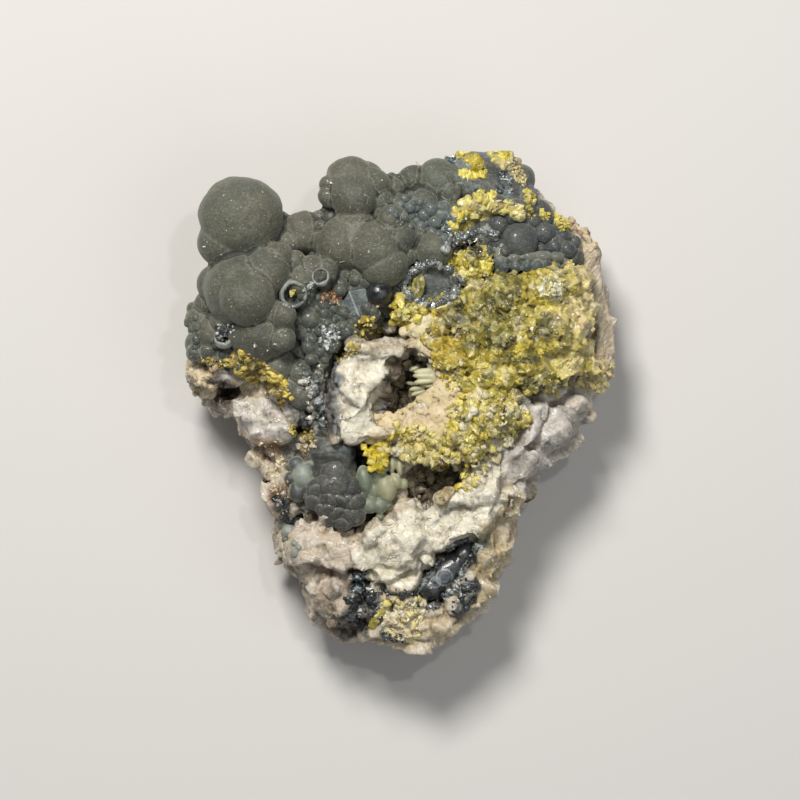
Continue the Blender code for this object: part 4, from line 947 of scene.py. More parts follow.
# Outlines of the yellow patches that lie outside the yellow crust.
RIDGE_PATCH = [(6, 24.1), (7.7, 26.9), (9.8, 28.3), (11.2, 28.7), (12.9, 28.3), (13.6, 27.3), (16.8, 27.4),
               (17.2, 26.5), (16.1, 25.8), (11.9, 25.2), (7.7, 23.4), (7.1, 22.6)]
CORNER_PATCH = [(7.3, 34.8), (9.5, 34.7), (10.8, 34.2), (12, 32.5), (11.2, 31.4), (10.5, 30.8), (8.7, 31.4),
                (10.2, 32.4), (8.7, 33.4)]
SECOND_PATCH = [(12.2, 34.8), (14.5, 34.8), (16.2, 33.6), (16.4, 32.4), (14.6, 32.6), (13.2, 33.2)]
LEFT_STRIP = [(-22, 7.2), (-19.3, 5.8), (-16.8, 3.8), (-14.8, 0.8), (-16, 0.2), (-18.5, 1.8), (-21, 3.6),
              (-24.1, 5.2)]
PINK_CRUST = [(0.4, 9.8), (3.2, 12.0), (6, 9), (8.4, 4), (10.4, -1), (11.6, -5), (9.6, -8), (5, -8.6),
              (0.4, -7.4), (-2.0, -6.9), (-3.4, -5.7), (-4.8, -5.2), (-4.4, -3.9), (-2.9, -3.5),
              (-2.4, -2.6), (1, -2), (3.6, 0), (5.8, 2.4), (4.8, 5), (3, 7.4)]


# ---------------------------------------------------------------- the rock

# Zones of the rock seen from above: colour, edge softness, lowest and highest height, outline.
ROCK_ZONES = [
    (tone(208, 192, 162), 1.5, -1, 18, [(24, 22), (31, 18), (32, 4), (27, -1), (24, 2), (25, 12)]),
    (tone(164, 160, 154), 0.8, 4, 99, [(13, 1), (20, 3), (27, 3), (26, -4), (20, -10), (16, -16), (9, -13),
                                       (10, -6)]),
    (tone(190, 184, 176), 1.2, 12, 99, [(20, 2), (26, 1), (24, -4), (18, -7), (15, -3)]),
    (tone(186, 168, 124), 0.9, 4, 99, [(15, -11), (17.5, -13), (16, -20), (13, -28), (8, -34), (5, -34),
                                       (8, -29), (11, -22), (11, -18)]),
    (WHITE_QUARTZ, 0.6, 12, 99, [(-9.6, 6), (-1, 7), (-0.5, 4), (-3, -1), (-2, -4.4), (-4, -5.6), (-6.5, -6),
                                 (-9.8, -4)]),
    (WHITE_QUARTZ, 0.6, 12, 99, [(-7.5, -21), (-4, -17.4), (1, -14.6), (6, -13.6), (11, -9.6), (15, -8.6),
                                 (14.4, -14), (10, -19), (7, -20), (3, -23.4), (-6, -23)]),
    (tone(226, 218, 192), 0.6, 12, 99, [(-5.5, -22.2), (4, -22), (4, -25), (2.4, -27), (-5, -26.6)]),
    (tone(190, 172, 136), 0.8, 4, 99, [(-5, -25.4), (3, -26), (6, -28), (8, -33), (2, -36), (-7, -35),
                                       (-8, -29)]),
    (tone(200, 186, 166), 0.8, 4, 99, [(-15, -14), (-9, -15), (-6, -19.6), (-7, -23.8), (-15, -23.6)]),
    (tone(172, 156, 136), 0.8, 0, 99, [(-15, -22), (-7.5, -22.5), (-5, -27), (-9, -33), (-14, -31)]),
    (tone(208, 202, 192), 0.7, 4, 99, [(-24, 0.4), (-17, 0.6), (-15, -2), (-15.6, -5), (-20, -5.5),
                                       (-23.4, -2)]),
    (STAIN, 0.9, 4, 99, [(-20.6, -5), (-16.6, -4.6), (-16, -7.4), (-20, -7.6)]),
    (tone(196, 182, 160), 0.8, 4, 99, [(-21, -8), (-17.4, -8), (-16, -12), (-18.6, -12)]),
    (tone(104, 74, 50), 0.9, 4, 99, [(-18.6, -12), (-15.6, -11), (-15, -15.6), (-18.4, -15.8)]),
    (DARK_GREY, 0.5, 6, 99, [(-16, 1), (-8.4, 4), (-8.2, -4.6), (-14, -6)]),
    (tone(56, 56, 50), 0.6, 6, 17.6, [(-17, -5), (-7, -4), (-2, -7), (0, -9), (-1, -15), (-4, -17),
                                      (-14, -17)]),
    (tone(54, 56, 52), 0.7, 6, 99, [(-29, 14), (-20, 22), (-8, 26), (4, 33), (10, 33), (7, 18), (2, 11),
                                    (-9, 8), (-13, 3), (-22, 4.6), (-28, 6)]),
    (tone(66, 70, 72), 0.7, 6, 99, [(6, 34.5), (16, 34), (19, 29), (25, 23), (24, 18), (4, 16), (2, 24)]),
    (tone(104, 92, 40), 0.7, 13, 99, [(3, 16), (26, 20), (28, 8), (24, 2), (12, 0), (9, -6), (4, 4)]),
    (PINK_CREAM, 0.7, 16, 99, PINK_CRUST),
    (VUG_BROWN, 0.3, 5, 99, [(-3.7, -1.4), (-2.2, 3.4), (-0.9, 6.0), (1.6, 7.0), (5.0, 6.2), (5.6, 2.8),
                             (3.4, 0.4), (0.6, -1.8), (-2.4, -2.8)]),
    (VUG_BROWN, 0.5, 5, 17.8, [(-0.4, -11), (1.6, -8.4), (5.6, -7.4), (9.6, -8.8), (10.2, -12.2), (8, -15.2),
                               (3.6, -16.2), (0.4, -15)]),
    (tone(50, 32, 20), 0.5, 5, 99, [(-27.6, 2.4), (-24.4, 3.6), (-22.6, 1.8), (-23.6, -0.2), (-26.2, 0)]),
    (tone(48, 36, 26), 0.5, 5, 99, [(-10, -30.8), (-7, -28.8), (-3.8, -30.2), (-4.6, -32.8), (-8.4, -33.4)]),
    (tone(40, 42, 42), 0.5, 8, 99, [(2, -26.6), (3.6, -24), (8, -19.4), (11.4, -19), (9.6, -23.6),
                                    (5.4, -28.6), (2, -29)]),
    (tone(46, 48, 50), 0.6, 8, 99, [(-7.6, -25.6), (-5, -24.6), (-3, -26), (-2.4, -29.6), (-3, -31),
                                    (-7, -30)]),
    (tone(62, 64, 60), 0.6, 8, 99, [(8.4, -26), (10.6, -24.6), (11.2, -26), (8.6, -30.4), (6.6, -30.4)]),
    (tone(110, 108, 84), 0.6, 8, 99, [(10.6, -18), (12.6, -17.6), (12.4, -20.6), (10.8, -21.4)]),
    (tone(50, 52, 52), 0.3, 12, 99, [(-11.5, 6), (-9.1, 6.4), (-8.9, -4), (-11, -4.6)]),
    (tone(124, 134, 140), 0.3, 12, 99, [(-9.1, 6), (-8.4, 6.4), (-8.2, -4), (-8.9, -4.6)]),
]
# Forms that soften and break the blocks' outlines: x, y, z, three half-lengths, turn.
ROCK_LOBES = [
    (-3.6, 1.6, 17.4, 1.5, 3.6, 4.2, -8), (-6.8, 0.5, 22.9, 2.7, 2.6, 2.0, 0),
    (-2.2, 5.0, 18.6, 2.0, 1.3, 3.4, 30), (-2.8, -2.2, 19.2, 1.8, 1.0, 2.4, -20),
    (6.2, 4.2, 18.4, 1.3, 2.4, 3.2, 20), (-9.0, -1.0, 21.6, 1.2, 4.8, 2.4, 4),
    (-6.4, 3.6, 23.2, 2.6, 2.2, 1.4, 10), (-5.2, -1.6, 22.8, 2.2, 2.8, 1.4, -12),
    (-26.6, 3.8, 14.8, 2.2, 1.6, 2.0, 20), (-20.4, -1.6, 17.6, 3.0, 1.8, 1.6, -30),
    (-17.2, -3.4, 17.0, 1.8, 2.0, 1.8, 10), (-10.6, -18.6, 18.6, 3.4, 2.0, 1.5, -40),
    (-8.6, -20.6, 18.6, 2.2, 2.8, 1.6, 20), (-12.6, -19.6, 17.2, 1.8, 3.4, 1.8, 5),
    (-10.4, -26.2, 16.2, 2.8, 1.8, 1.6, -35), (-11.0, -22.6, 16.8, 2.8, 1.6, 1.6, -20),
    (0.6, -18.8, 20.0, 4.6, 2.0, 1.3, 25), (7.6, -14.6, 19.8, 5.0, 1.8, 1.5, 32),
    (-3.0, -20.2, 19.9, 2.6, 2.2, 1.2, 0), (2.2, -31.4, 16.0, 3.4, 1.8, 1.5, 20),
    (-1.0, -29.4, 16.8, 2.6, 2.0, 1.4, -10), (12.2, -20.0, 15.6, 1.4, 5.4, 1.8, -14),
    (20.4, -3.8, 16.8, 3.4, 2.2, 2.2, 40), (17.4, -8.6, 17.0, 2.2, 3.8, 2.2, -28),
    (23.4, -0.6, 15.8, 2.6, 1.6, 1.8, 10), (13.6, -9.2, 19.0, 1.4, 3.8, 1.6, -30),
    (9.2, -17.2, 19.0, 2.8, 1.4, 1.5, 38), (-17.2, -13.6, 15.0, 1.3, 2.4, 1.8, -10),
    (-5.8, -24.4, 18.0, 1.8, 1.2, 1.4, 10),
]
# The broad slab along the side: x, y, z, three half-lengths, lean, turn.
WALL_BLOCKS = [(26.9, 7.6, 11.6, 1.7, 4.6, 3.6, 35, -4), (25.7, 15.2, 12.0, 1.6, 4.4, 3.2, 35, 12),
               (27.6, 10.8, 8.0, 1.6, 5.4, 3.4, 12, 6)]
# How the rock's flakes and the wall's streaks are drawn out of an even noise.
FLAKES = np.array([[0.62, -0.55, 0.2], [0.70, 0.66, 0.1], [0.2, 0.3, 1.1]])
WALL_GRAIN = np.array([[1.0, 0.0, 0.0], [0.0, 2.6, 0.6], [0.0, 0.9, 1.4]])
WALL_STREAKS = np.array([[1.0, 0.0, 0.0], [0.0, 3.2, 0.6], [0.0, 0.9, 1.4]])


def break_rock(rock, points, inner, wall, warped):
    """Break the rock's skin into flat facets in several sizes, less on the cream crust and the wall."""
    flakes = warped @ FLAKES
    planes = broken_facets(flakes, 5.4, 11, 0.36) + broken_facets(warped, 2.8, 31, 0.28)
    push = (neighbour_mean(rock, planes[:, None], 1)[:, 0]
            + 0.26 * (0.5 - np.abs(layered_noise(flakes, 2.8, 61, 3)))
            + 0.7 * clamp01(layered_noise(points, 4.2, 41, 2) - 0.2) * broken_facets(warped, 1.2, 51, 0.3)
            + 0.03 * layered_noise(points, 0.9, 71))
    push += 0.32 * broken_facets(points, 1.5, 55, 0.5)
    push = push * (1.0 - 0.8 * inner) + inner * 0.22 * layered_noise(points, 1.4, 81)
    push = push * (1.0 - 0.7 * wall) + wall * 0.14 * layered_noise(points @ WALL_GRAIN, 2.2, 91, 3)
    low, high = np.array(CAD_BOX) / MM
    room = np.minimum(points - low, high - points)[:, :2].min(axis=1)
    push = np.where(push > 0.0, push * clamp01(room / 1.2), push)
    free = clamp01((points[:, 2] - 0.3) / 1.2)[:, None]
    set_points(rock, points + normals_of(rock) * push[:, None] * free)


def rock_tint(points, wall, warped):
    """Colours of the rock, and how light they are."""
    tint = one_color(points, BEIGE)
    streak = layered_noise(points @ WALL_STREAKS, 1.6, 93, 3)
    tint = blend(tint, tone(132, 102, 76), 0.5 * wall * clamp01(streak * 2.4 - 0.2))
    tint = blend(tint, tone(216, 204, 180), 0.8 * wall * clamp01(-streak * 2.4 - 0.1))
    side = clamp01((12.0 - points[:, 2]) / 4.0) * clamp01(0.5 + 1.2 * layered_noise(points, 7.0, 121))
    tint = blend(tint, tone(148, 124, 94), 0.75 * side * (1.0 - 0.8 * wall))
    tint = blend(tint, tone(196, 186, 170), clamp01(1.6 * layered_noise(points, 5.0, 131)))
    for number, (color, feather, low, high, outline) in enumerate(ROCK_ZONES):
        tint = blend(tint, color, zone(points, outline, feather, 0.8, 200 + number, low, high))
    light = (tint.mean(axis=1) > 0.25).astype(float)
    dull = clamp01(layered_noise(warped, 2.4, 141, 4) * 2.2 - 0.3)
    rusty = clamp01(layered_noise(warped, 1.1, 151, 3) * 5.0 - 2.4)
    tint = blend(tint, tone(166, 154, 130), 0.45 * light * dull)
    tint = blend(tint, tone(178, 138, 84), 0.7 * light * rusty)
    return blend(tint, tone(176, 168, 152), clamp01((0.25 - points[:, 2]) / 0.2)), light


def make_rock():
    """The quartz rock: broken facets in several sizes over the solid's own form."""
    base = copy_node("quartz_matrix", "quartz_rock")
    forms = [add_lobe(*lobe) for lobe in ROCK_LOBES] + [add_block(*block) for block in WALL_BLOCKS]
    rock = join([base] + forms, "quartz_rock")
    skin(rock, 0.32)
    points = points_of(rock)
    inner = zone(points, PINK_CRUST, 1.0, 0.4, 5, 16)
    wall = clamp01((points[:, 0] - 23.0) / 3.0) * clamp01((points[:, 1] + 1.0) / 3.0)
    warped = points + 0.8 * np.stack([layered_noise(points, 3.5, SEED + axis) for axis in range(3)], axis=1)
    break_rock(rock, points, inner, wall, warped)
    points = points_of(rock)
    tint, light = rock_tint(points, wall, warped)
    # Masks for the painted shade in the creases and the painted highlight on the crests.
    return settle(rock, tint=tint, crease=clamp01(hollowness(rock, 24) * 1.2),
                  crest=clamp01(-hollowness(rock, 2) * 2.0) * light,
                  grain=wall * clamp01((points[:, 2] - 1.0) / 2.0),
                  gloss=clamp01(1.0 - 1.4 * inner) * light)


# The ragged lip of the cream crust along the upper hollow.
LIP = [(0.9, 11.2), (1.6, 9.6), (2.4, 8.2), (3.0, 7.0), (4.6, 6.4), (5.4, 4.6), (5.6, 2.8), (5.0, 1.8),
       (3.6, 0.8), (2.2, 0.0), (0.8, -1.0), (-0.6, -1.8), (-2.0, -2.4), (-3.4, -2.2), (-4.2, -1.2)]
# The flat pads under the cream crust: x, y, z, three half-lengths, turn.
PADS = [(6.6, -1.4, 21.2, 3.6, 4.2, 1.0, 30), (4.2, -4.8, 21.0, 5.0, 2.6, 1.0, 10),
        (-2.6, -4.4, 21.2, 2.4, 1.8, 1.0, 0), (3.4, 9.6, 21.2, 1.8, 2.8, 1.0, -20),
        (8.4, 1.8, 21.4, 1.6, 2.6, 1.0, 20)]


def make_cream_crust():
    """The thin pitted cream crust around the upper hollow, with its ragged lip."""
    bits = crowd(PINK_CRUST, 170, 21.4, 22.2, (0.5, 1.2), 31)
    draw = random.Random(33)
    for (x, y), (after_x, after_y) in zip(LIP, LIP[1:]):
        for share in (0.0, 0.25, 0.5, 0.75):
            bits.append((x + (after_x - x) * share + draw.uniform(-0.25, 0.25),
                         y + (after_y - y) * share + draw.uniform(-0.25, 0.25),
                         21.4 + draw.uniform(-0.5, 0.5), draw.uniform(0.35, 0.7)))
    forms = [add_lobe(x, y, z, size, size, size * 0.6, 0, 3) for x, y, z, size in bits]
    crust = join(forms + [add_lobe(*pad) for pad in PADS], "cream_crust")
    skin(crust, 0.19)
    points = points_of(crust)
    pits = clamp01(layered_noise(points, 0.9, 911, 2) * 3.0 - 1.0)
    push_out(crust, 0.30 * layered_noise(points, 1.3, 901, 4) - 0.32 * pits)
    tint = one_color(points, PINK_CREAM)
    yellowish = clamp01((points[:, 0] - 7.0) / 4.0) + clamp01((-4.6 - points[:, 1]) / 1.6)
    tint = blend(tint, tone(214, 200, 122), 0.7 * clamp01(yellowish))
    tint = blend(tint, CREAM, clamp01((points[:, 1] - 4.5) / 3.0))
    tint = blend(tint, tone(176, 162, 84), 0.8 * zone(points, SCATTERED, 0.8, 0.7, 941))
    tint = blend(tint, tone(184, 182, 132), 0.6 * clamp01(layered_noise(points, 2.2, 921) * 2 - 0.1))
    tint = blend(tint, tone(96, 62, 34), 0.8 * pits * clamp01(0.4 + layered_noise(points, 2.4, 931) * 1.6))
    return settle(crust, 34000, tint=tint, crease=clamp01(hollowness(crust, 6)),
                  crest=clamp01(-hollowness(crust, 2) * 2.0) * 0.5, gloss=0.0)


# ---------------------------------------------------------------- the grey crust

def swollen(ball, seed):
    """Shallow swells over a ball, which make its outline uneven: x, y, z, radius."""
    x, y, z, radius = ball
    draw = random.Random(seed)
    swells = []
    for _ in range(int(2 + radius)):
        way = Vector((draw.uniform(-1, 1), draw.uniform(-1, 1), draw.uniform(-0.4, 0.5))).normalized()
        share = draw.uniform(0.55, 0.78)
        centre = Vector((x, y, z)) + way * radius * (1.0 - share) * 1.05
        swells.append((*centre, radius * share))
    return swells


def small_buds(balls, count, seed, sizes):
    """Small balls crowded in the valleys between the larger ones: x, y, z, radius."""
    draw = random.Random(seed)
    buds = []
    while len(buds) < count:
        x, y, z, radius = draw.choice(balls)
        angle = draw.uniform(0.0, math.tau)
        rise = draw.uniform(-0.2, 0.4)
        level = math.sqrt(1.0 - rise * rise)
        size = draw.uniform(*sizes)
        buds.append((x + radius * level * math.cos(angle), y + radius * level * math.sin(angle),
                     z + radius * rise, size))
    return buds


def inside(outline, x, y):
    """Whether a place lies inside an outline."""
    return edge_distance(outline, np.array([[x, y]]))[0] > 0.0


def place_within(outline, draw):
    """A random place in the box around an outline."""
    across, along = [point[0] for point in outline], [point[1] for point in outline]
    return draw.uniform(min(across), max(across)), draw.uniform(min(along), max(along))


def crowd(outline, count, low, high, sizes, seed):
    """Small balls crowded over an outline without quite filling it: x, y, z, radius."""
    draw = random.Random(seed)
    balls = []
    tries = 0
    while len(balls) < count and tries < count * 40:
        tries += 1
        x, y = place_within(outline, draw)
        size = sizes[0] + (sizes[1] - sizes[0]) * draw.random() ** 1.5
        if inside(outline, x, y) and all(math.hypot(x - ball[0], y - ball[1]) > 0.62 * (size + ball[3])
                                         for ball in balls):
            balls.append((x, y, draw.uniform(low, high), size))
    return balls


def melt(piece, spots, rounds):
    """Smooth a piece's skin near some places, so that its forms run into each other."""
    points = points_of(piece)
    mask = np.zeros(len(points))
    for x, y, z, reach in spots:
        away = np.linalg.norm(points - np.array([x + SHIFT.x, y + SHIFT.y, z]), axis=1)
        mask = np.maximum(mask, clamp01((reach - away) / (0.4 * reach)))
    smooth = neighbour_mean(piece, points, rounds)
    set_points(piece, points + (smooth - points) * mask[:, None])


def band(heights, middle, width):
    """A soft band around a height: 1 at its middle, 0 outside."""
    return np.exp(-((heights - middle) / width) ** 2)


def grey_groups():
    """The grey crust's forms in groups, each with its colour, and how far that strays both ways."""
    buds = small_buds([ball for ball in GREY_BALLS if 1.2 < ball[3] < 2.4], 60, 3, (0.45, 0.95))
    buds = [bud for bud in buds if bud[0] > -8.6 or bud[1] < 26.0]
    bubbles = crowd(BUBBLE_VALLEY, 50, 20.4, 21.2, (0.8, 1.5), 21)
    bubbles += crowd(LEFT_VALLEY, 26, 19.0, 20.2, (0.6, 1.3), 22)
    blue_bubbles = crowd(BLUE_VALLEY, 30, 19.8, 20.6, (0.6, 1.2), 23)
    return [(GREY_BALLS, GREY, 0.88, 1.10), (RIM_BEADS, tone(72, 78, 78), 0.8, 1.2),
            (HOLLOW_BALLS, tone(58, 64, 66), 0.85, 1.15), (TEAL_BALLS, TEAL, 0.8, 1.2),
            (buds, tone(76, 80, 70), 0.75, 1.2), (bubbles, tone(66, 72, 66), 0.65, 1.3),
            (blue_bubbles, tone(80, 90, 90), 0.7, 1.3), (CORNER_LOBES, tone(74, 76, 74), 0.85, 1.15),
            (LIP_LOBES, tone(112, 114, 104), 0.9, 1.1)]


def make_grey_crust():
    """The grey-green crust of balls, blue-grey and smoother toward the corner."""
    groups = grey_groups()
    balls = [ball for group in groups[:7] for ball in group[0]]
    big = [ball for ball in GREY_BALLS if ball[3] > 2.35]
    swells = [swell for number, ball in enumerate(big) for swell in swollen(ball, number)]
    forms = [add_ball(*ball) for ball in balls + swells]
    forms += [add_lobe(*lobe) for lobe in CRUST_SWELLS + CORNER_LOBES + LIP_LOBES]
    crust = join(forms, "grey_crust")
    skin(crust, 0.22)
    melt(crust, MELTS, 70)
    points = points_of(crust)
    push = 0.52 * layered_noise(points, 6.0, 301, 2) + 0.20 * layered_noise(points, 2.4, 305, 2)
    push += 0.05 * layered_noise(points, 0.9, 309, 2)
    corner = zone(points, [(7, 36), (20, 34), (27, 20), (10, 16), (6, 24)], 2.0, 0.5, 7)
    push += corner * (0.05 * layered_noise(points, 1.4, 315, 3) + broken_facets(points, 1.8, 319, 0.05))
    push_out(crust, push)
    all_forms = balls + CORNER_LOBES + LIP_LOBES
    shares, up = form_shares(points, all_forms, 0.16)
    draw = np.random.default_rng(5)
    tint = shares.T @ np.concatenate([np.array(color) * draw.uniform(low, high, (len(group), 1))
                                      for group, color, low, high in groups])
    warm = clamp01(0.5 + layered_noise(points, 8.0, 311)) * clamp01((2.0 - points[:, 0]) / 10.0)
    tint = blend(tint, GREY_BROWN, 0.30 * warm)
    tint = blend(tint, tone(72, 84, 80), 0.6 * clamp01(layered_noise(points, 5.0, 313) * 1.6 - 0.1))
    radius = shares.T @ np.array([min(form[3:6]) for form in all_forms])
    small = clamp01((2.3 - radius) / 1.0)
    # Painted sheen: a pale band round each ball where it turns steeply away from above, and the tops of the
    # small balls painted darker to go with it.
    tint = blend(tint, tone(146, 152, 138), 0.75 * small * band(up, 0.30, 0.17))
    tint = blend(tint, tone(126, 128, 112), 0.45 * (1.0 - small) * band(up, 0.28, 0.18))
    tint = blend(tint, tone(52, 58, 56), 0.45 * small * clamp01((up - 0.6) / 0.4))
    stains = [(RIDGE_PATCH, tone(196, 178, 104)), (CORNER_PATCH, tone(186, 166, 60)),
              (SECOND_PATCH, tone(196, 182, 110)), (LEFT_STRIP, tone(140, 116, 56))]
    for number, (patch, color) in enumerate(stains):
        tint = blend(tint, color, 0.9 * zone(points, patch, 0.35, 0.5, 331 + number, 17.6, 40))
    pale = zone(points, [(5, 35.2), (13, 35.2), (20, 28), (26, 22), (22, 20), (6, 21)], 1.0, 0.6, 341)
    cloudy = clamp01(layered_noise(points, 1.5, 343, 3) * 3.0 - 0.5)
    tint = blend(tint, tone(128, 142, 146), 0.75 * pale * cloudy)
    rims = shares[len(GREY_BALLS):len(GREY_BALLS) + len(RIM_BEADS)].sum(axis=0)
    gloss = clamp01(rims + 0.55 * small * clamp01(0.3 + layered_noise(points, 3.0, 321) * 2))
    # The crease mask carries the painted shade in the creases.
    return settle(crust, 125000, tint=tint, crease=clamp01(hollowness(crust, 6) * 5.0), gloss=gloss)


# ---------------------------------------------------------------- the yellow crust

def yellow_tint(points, seed):
    """Colours of the yellow crust: bright, mustard, olive and pale by place and by grain."""
    draw = np.random.default_rng(seed)
    x, y = points[:, 0] - SHIFT.x, points[:, 1] - SHIFT.y
    olive = np.exp(-(((x - 12.5) / 6.0) ** 2 + ((y - 12.5) / 4.8) ** 2))
    mustard = np.exp(-(((x - 6.0) / 4.5) ** 2 + ((y - 9.0) / 4.0) ** 2))
    pale = clamp01((x - 17.0) / 8.0) + np.exp(-(((x - 11.5) / 4.5) ** 2 + ((y + 2.0) / 4.0) ** 2))
    patch = layered_noise(points, 2.6, 4013, 3)
    tint = one_color(points, tone(190, 172, 60))
    for color, share in (
            (BRIGHT_YELLOW, clamp01(patch * 3.0 - 0.2)),
            (MUSTARD, clamp01(1.5 * mustard * (0.7 + patch))),
            (OLIVE, clamp01(1.4 * olive * (0.7 + 1.2 * layered_noise(points, 2.4, 4017, 3)))),
            (PALE_YELLOW, clamp01(0.8 * pale * (0.5 + soft_noise(points, 2.6, seed + 5)))),
            (tone(70, 68, 40), 0.9 * clamp01(layered_noise(points, 2.0, 4021, 2) * 5.0 - 0.7)),
            (tone(120, 116, 98), 0.9 * clamp01(layered_noise(points, 1.5, 4031, 2) * 4.5 - 1.4)),
            (tone(214, 202, 158), 0.9 * clamp01(layered_noise(points, 1.8, 4041, 2) * 4.5 - 1.1)),
            (tone(214, 194, 154), 0.8 * clamp01((x - 19.5) / 4.5) * clamp01(0.5 + patch * 1.8))):
        tint = blend(tint, color, share)
    return tint * draw.uniform(0.90, 1.10, (len(points), 1))


def make_yellow_crust():
    """The yellow crust: heaped swells set all over with small crystals."""
    buds = small_buds(YELLOW_SWELLS, 150, 8, (0.6, 1.4))
    bed = join([add_ball(*swell) for swell in YELLOW_SWELLS + buds], "yellow_crust_bed")
    skin(bed, 0.28)
    points = points_of(bed)
    push_out(bed, broken_facets(points, 2.2, 401, 0.30) - 0.55 + 0.9 * layered_noise(points, 3.0, 431, 3))
    chips = [chip(1.0, 1.1, 0.0, 1), chip(1.1, 0.8, 0.1, 2), chip(0.8, 1.3, 0.05, 3),
             point_crystal(0.7, 0.8, 0.3), chip(1.0, 0.9, -0.1, 5)]
    upper = clamp01((normals_of(bed)[:, 2] + 0.35) * 1.5)
    spots, outward = surface_spots(bed, 1900, 10, upper)
    draw = np.random.default_rng(11)
    sizes = (0.8 + 1.5 * draw.random(len(spots)) ** 2.0) * (1.0 + 0.35 * soft_noise(spots, 4.0, 441))
    lumps = strew("yellow_lumps", chips, spots, outward, sizes, 12, 0.35, 0.9)
    bed = join([bed, lumps], "yellow_crust_bed")
    skin(bed, 0.14)
    height = hollowness(bed, 14)
    # Painted highlight: paler on the crests; the creases keep a mask for painted shade.
    tint = blend(yellow_tint(points_of(bed), 9), tone(232, 222, 140), 0.5 * clamp01(-height * 2.4))
    settle(bed, 135000, tint=neighbour_mean(bed, tint, 2), crease=clamp01(height * 1.8))
    upper = clamp01((normals_of(bed)[:, 2] + 0.2) * 1.5)
    spots, outward = surface_spots(bed, 1500, 14, upper)
    sizes = 0.25 + 0.55 * draw.random(len(spots)) ** 2.0
    grains = strew("yellow_crust_grains", chips, spots, outward, sizes, 15, 0.35, 0.8,
                   yellow_tint(spots, 13))
    drop(chips)
    return bed, settle(grains, None, crease=0.0)


# ---------------------------------------------------------------- the lower crust, the lens and the hollows

FINGER_COLORS = [tone(106, 116, 98), tone(140, 142, 116), tone(166, 162, 130), tone(170, 166, 134),
                 tone(164, 162, 132), tone(148, 148, 118), tone(146, 146, 114), tone(150, 150, 116),
                 tone(140, 140, 108), tone(108, 116, 100), tone(104, 112, 98), tone(114, 120, 100),
                 tone(164, 158, 128), tone(110, 116, 98), tone(102, 110, 96), tone(116, 120, 102)]
EDGE_COLORS = [tone(130, 138, 128), tone(78, 84, 82), tone(80, 84, 80), tone(140, 146, 136),
               tone(140, 146, 136), tone(68, 72, 70), tone(66, 68, 66)]
LOWER_COLORS = ([tone(56, 58, 54)] * 4 + [tone(80, 88, 90)] + [tone(54, 56, 54)] * 14
                + FINGER_COLORS + EDGE_COLORS)


def make_lower_crust():
    """The lower crust: a dark rough panel, a fan of scales, and pale green fingers beside them."""
    lobes = PANEL_LOBES + FAN_LOBES + FINGER_LOBES + EDGE_LOBES
    crust = join([add_lobe(*lobe) for lobe in lobes], "lower_crust_lobes")
    skin(crust, 0.15)
    points = points_of(crust)
    shares, up = form_shares(points, lobes, 0.10)
    panel = shares[:len(PANEL_LOBES)].sum(axis=0)
    fan = shares[len(PANEL_LOBES):len(PANEL_LOBES) + len(FAN_LOBES)].sum(axis=0)
    streaks = points @ np.array([[0.5, 0.0, 0.0], [0.0, 2.4, 0.0], [0.0, 0.0, 1.0]])
    push_out(crust, 0.05 * layered_noise(points, 0.9, 501)
             + panel * 0.14 * layered_noise(streaks, 1.6, 511, 4))
    tint = shares.T @ np.array(LOWER_COLORS)
    # Painted sheen: pale bands where the lobes turn steeply away from above.
    rim = band(up, 0.30, 0.16)
    tint = blend(tint, tone(140, 142, 132), 0.75 * clamp01(fan) * rim)
    tint = blend(tint, tone(196, 200, 178), 0.6 * (1.0 - clamp01(fan + panel)) * rim)
    tint = blend(tint, tone(86, 88, 82), 0.4 * panel * clamp01(layered_noise(streaks, 1.0, 531, 3) * 3.0))
    return settle(crust, 48000, tint=tint, crease=clamp01(hollowness(crust, 9) * 1.6))


def make_lens():
    """The black glassy lens with its low domes."""
    forms = [add_lobe(6.2, -24.0, 15.8, 3.9, 2.1, 1.9, 44, 5), add_lobe(4.3, -25.9, 15.9, 2.0, 1.7, 1.6, 20),
             add_lobe(8.8, -21.3, 15.8, 2.2, 1.2, 1.6, 48), add_lobe(6.1, -24.4, 17.1, 1.2, 1.1, 0.5, 47),
             add_lobe(4.7, -25.2, 16.9, 0.8, 0.8, 0.5, 47), add_lobe(7.8, -22.6, 16.6, 1.6, 0.9, 0.9, 50)]
    lens = join(forms, "black_lens_body")
    skin(lens, 0.13)
    points = points_of(lens)
    push_out(lens, 0.10 * layered_noise(points, 2.4, 601, 3) + broken_facets(points, 1.6, 611, 0.05))
    rings = np.zeros(len(points))
    for x, y, reach in ((6.2, -24.4, 1.25), (4.9, -25.1, 0.8)):
        away = np.hypot(points[:, 0] - x - SHIFT.x, points[:, 1] - y - SHIFT.y)
        rings += band(away, reach * 0.9, 0.08) + 0.4 * band(away, reach * 0.5, 0.10)
        rings += 0.12 * (away < reach * 0.9)
    return settle(lens, 16000, rings=clamp01(rings * (points[:, 2] > 16.4)))


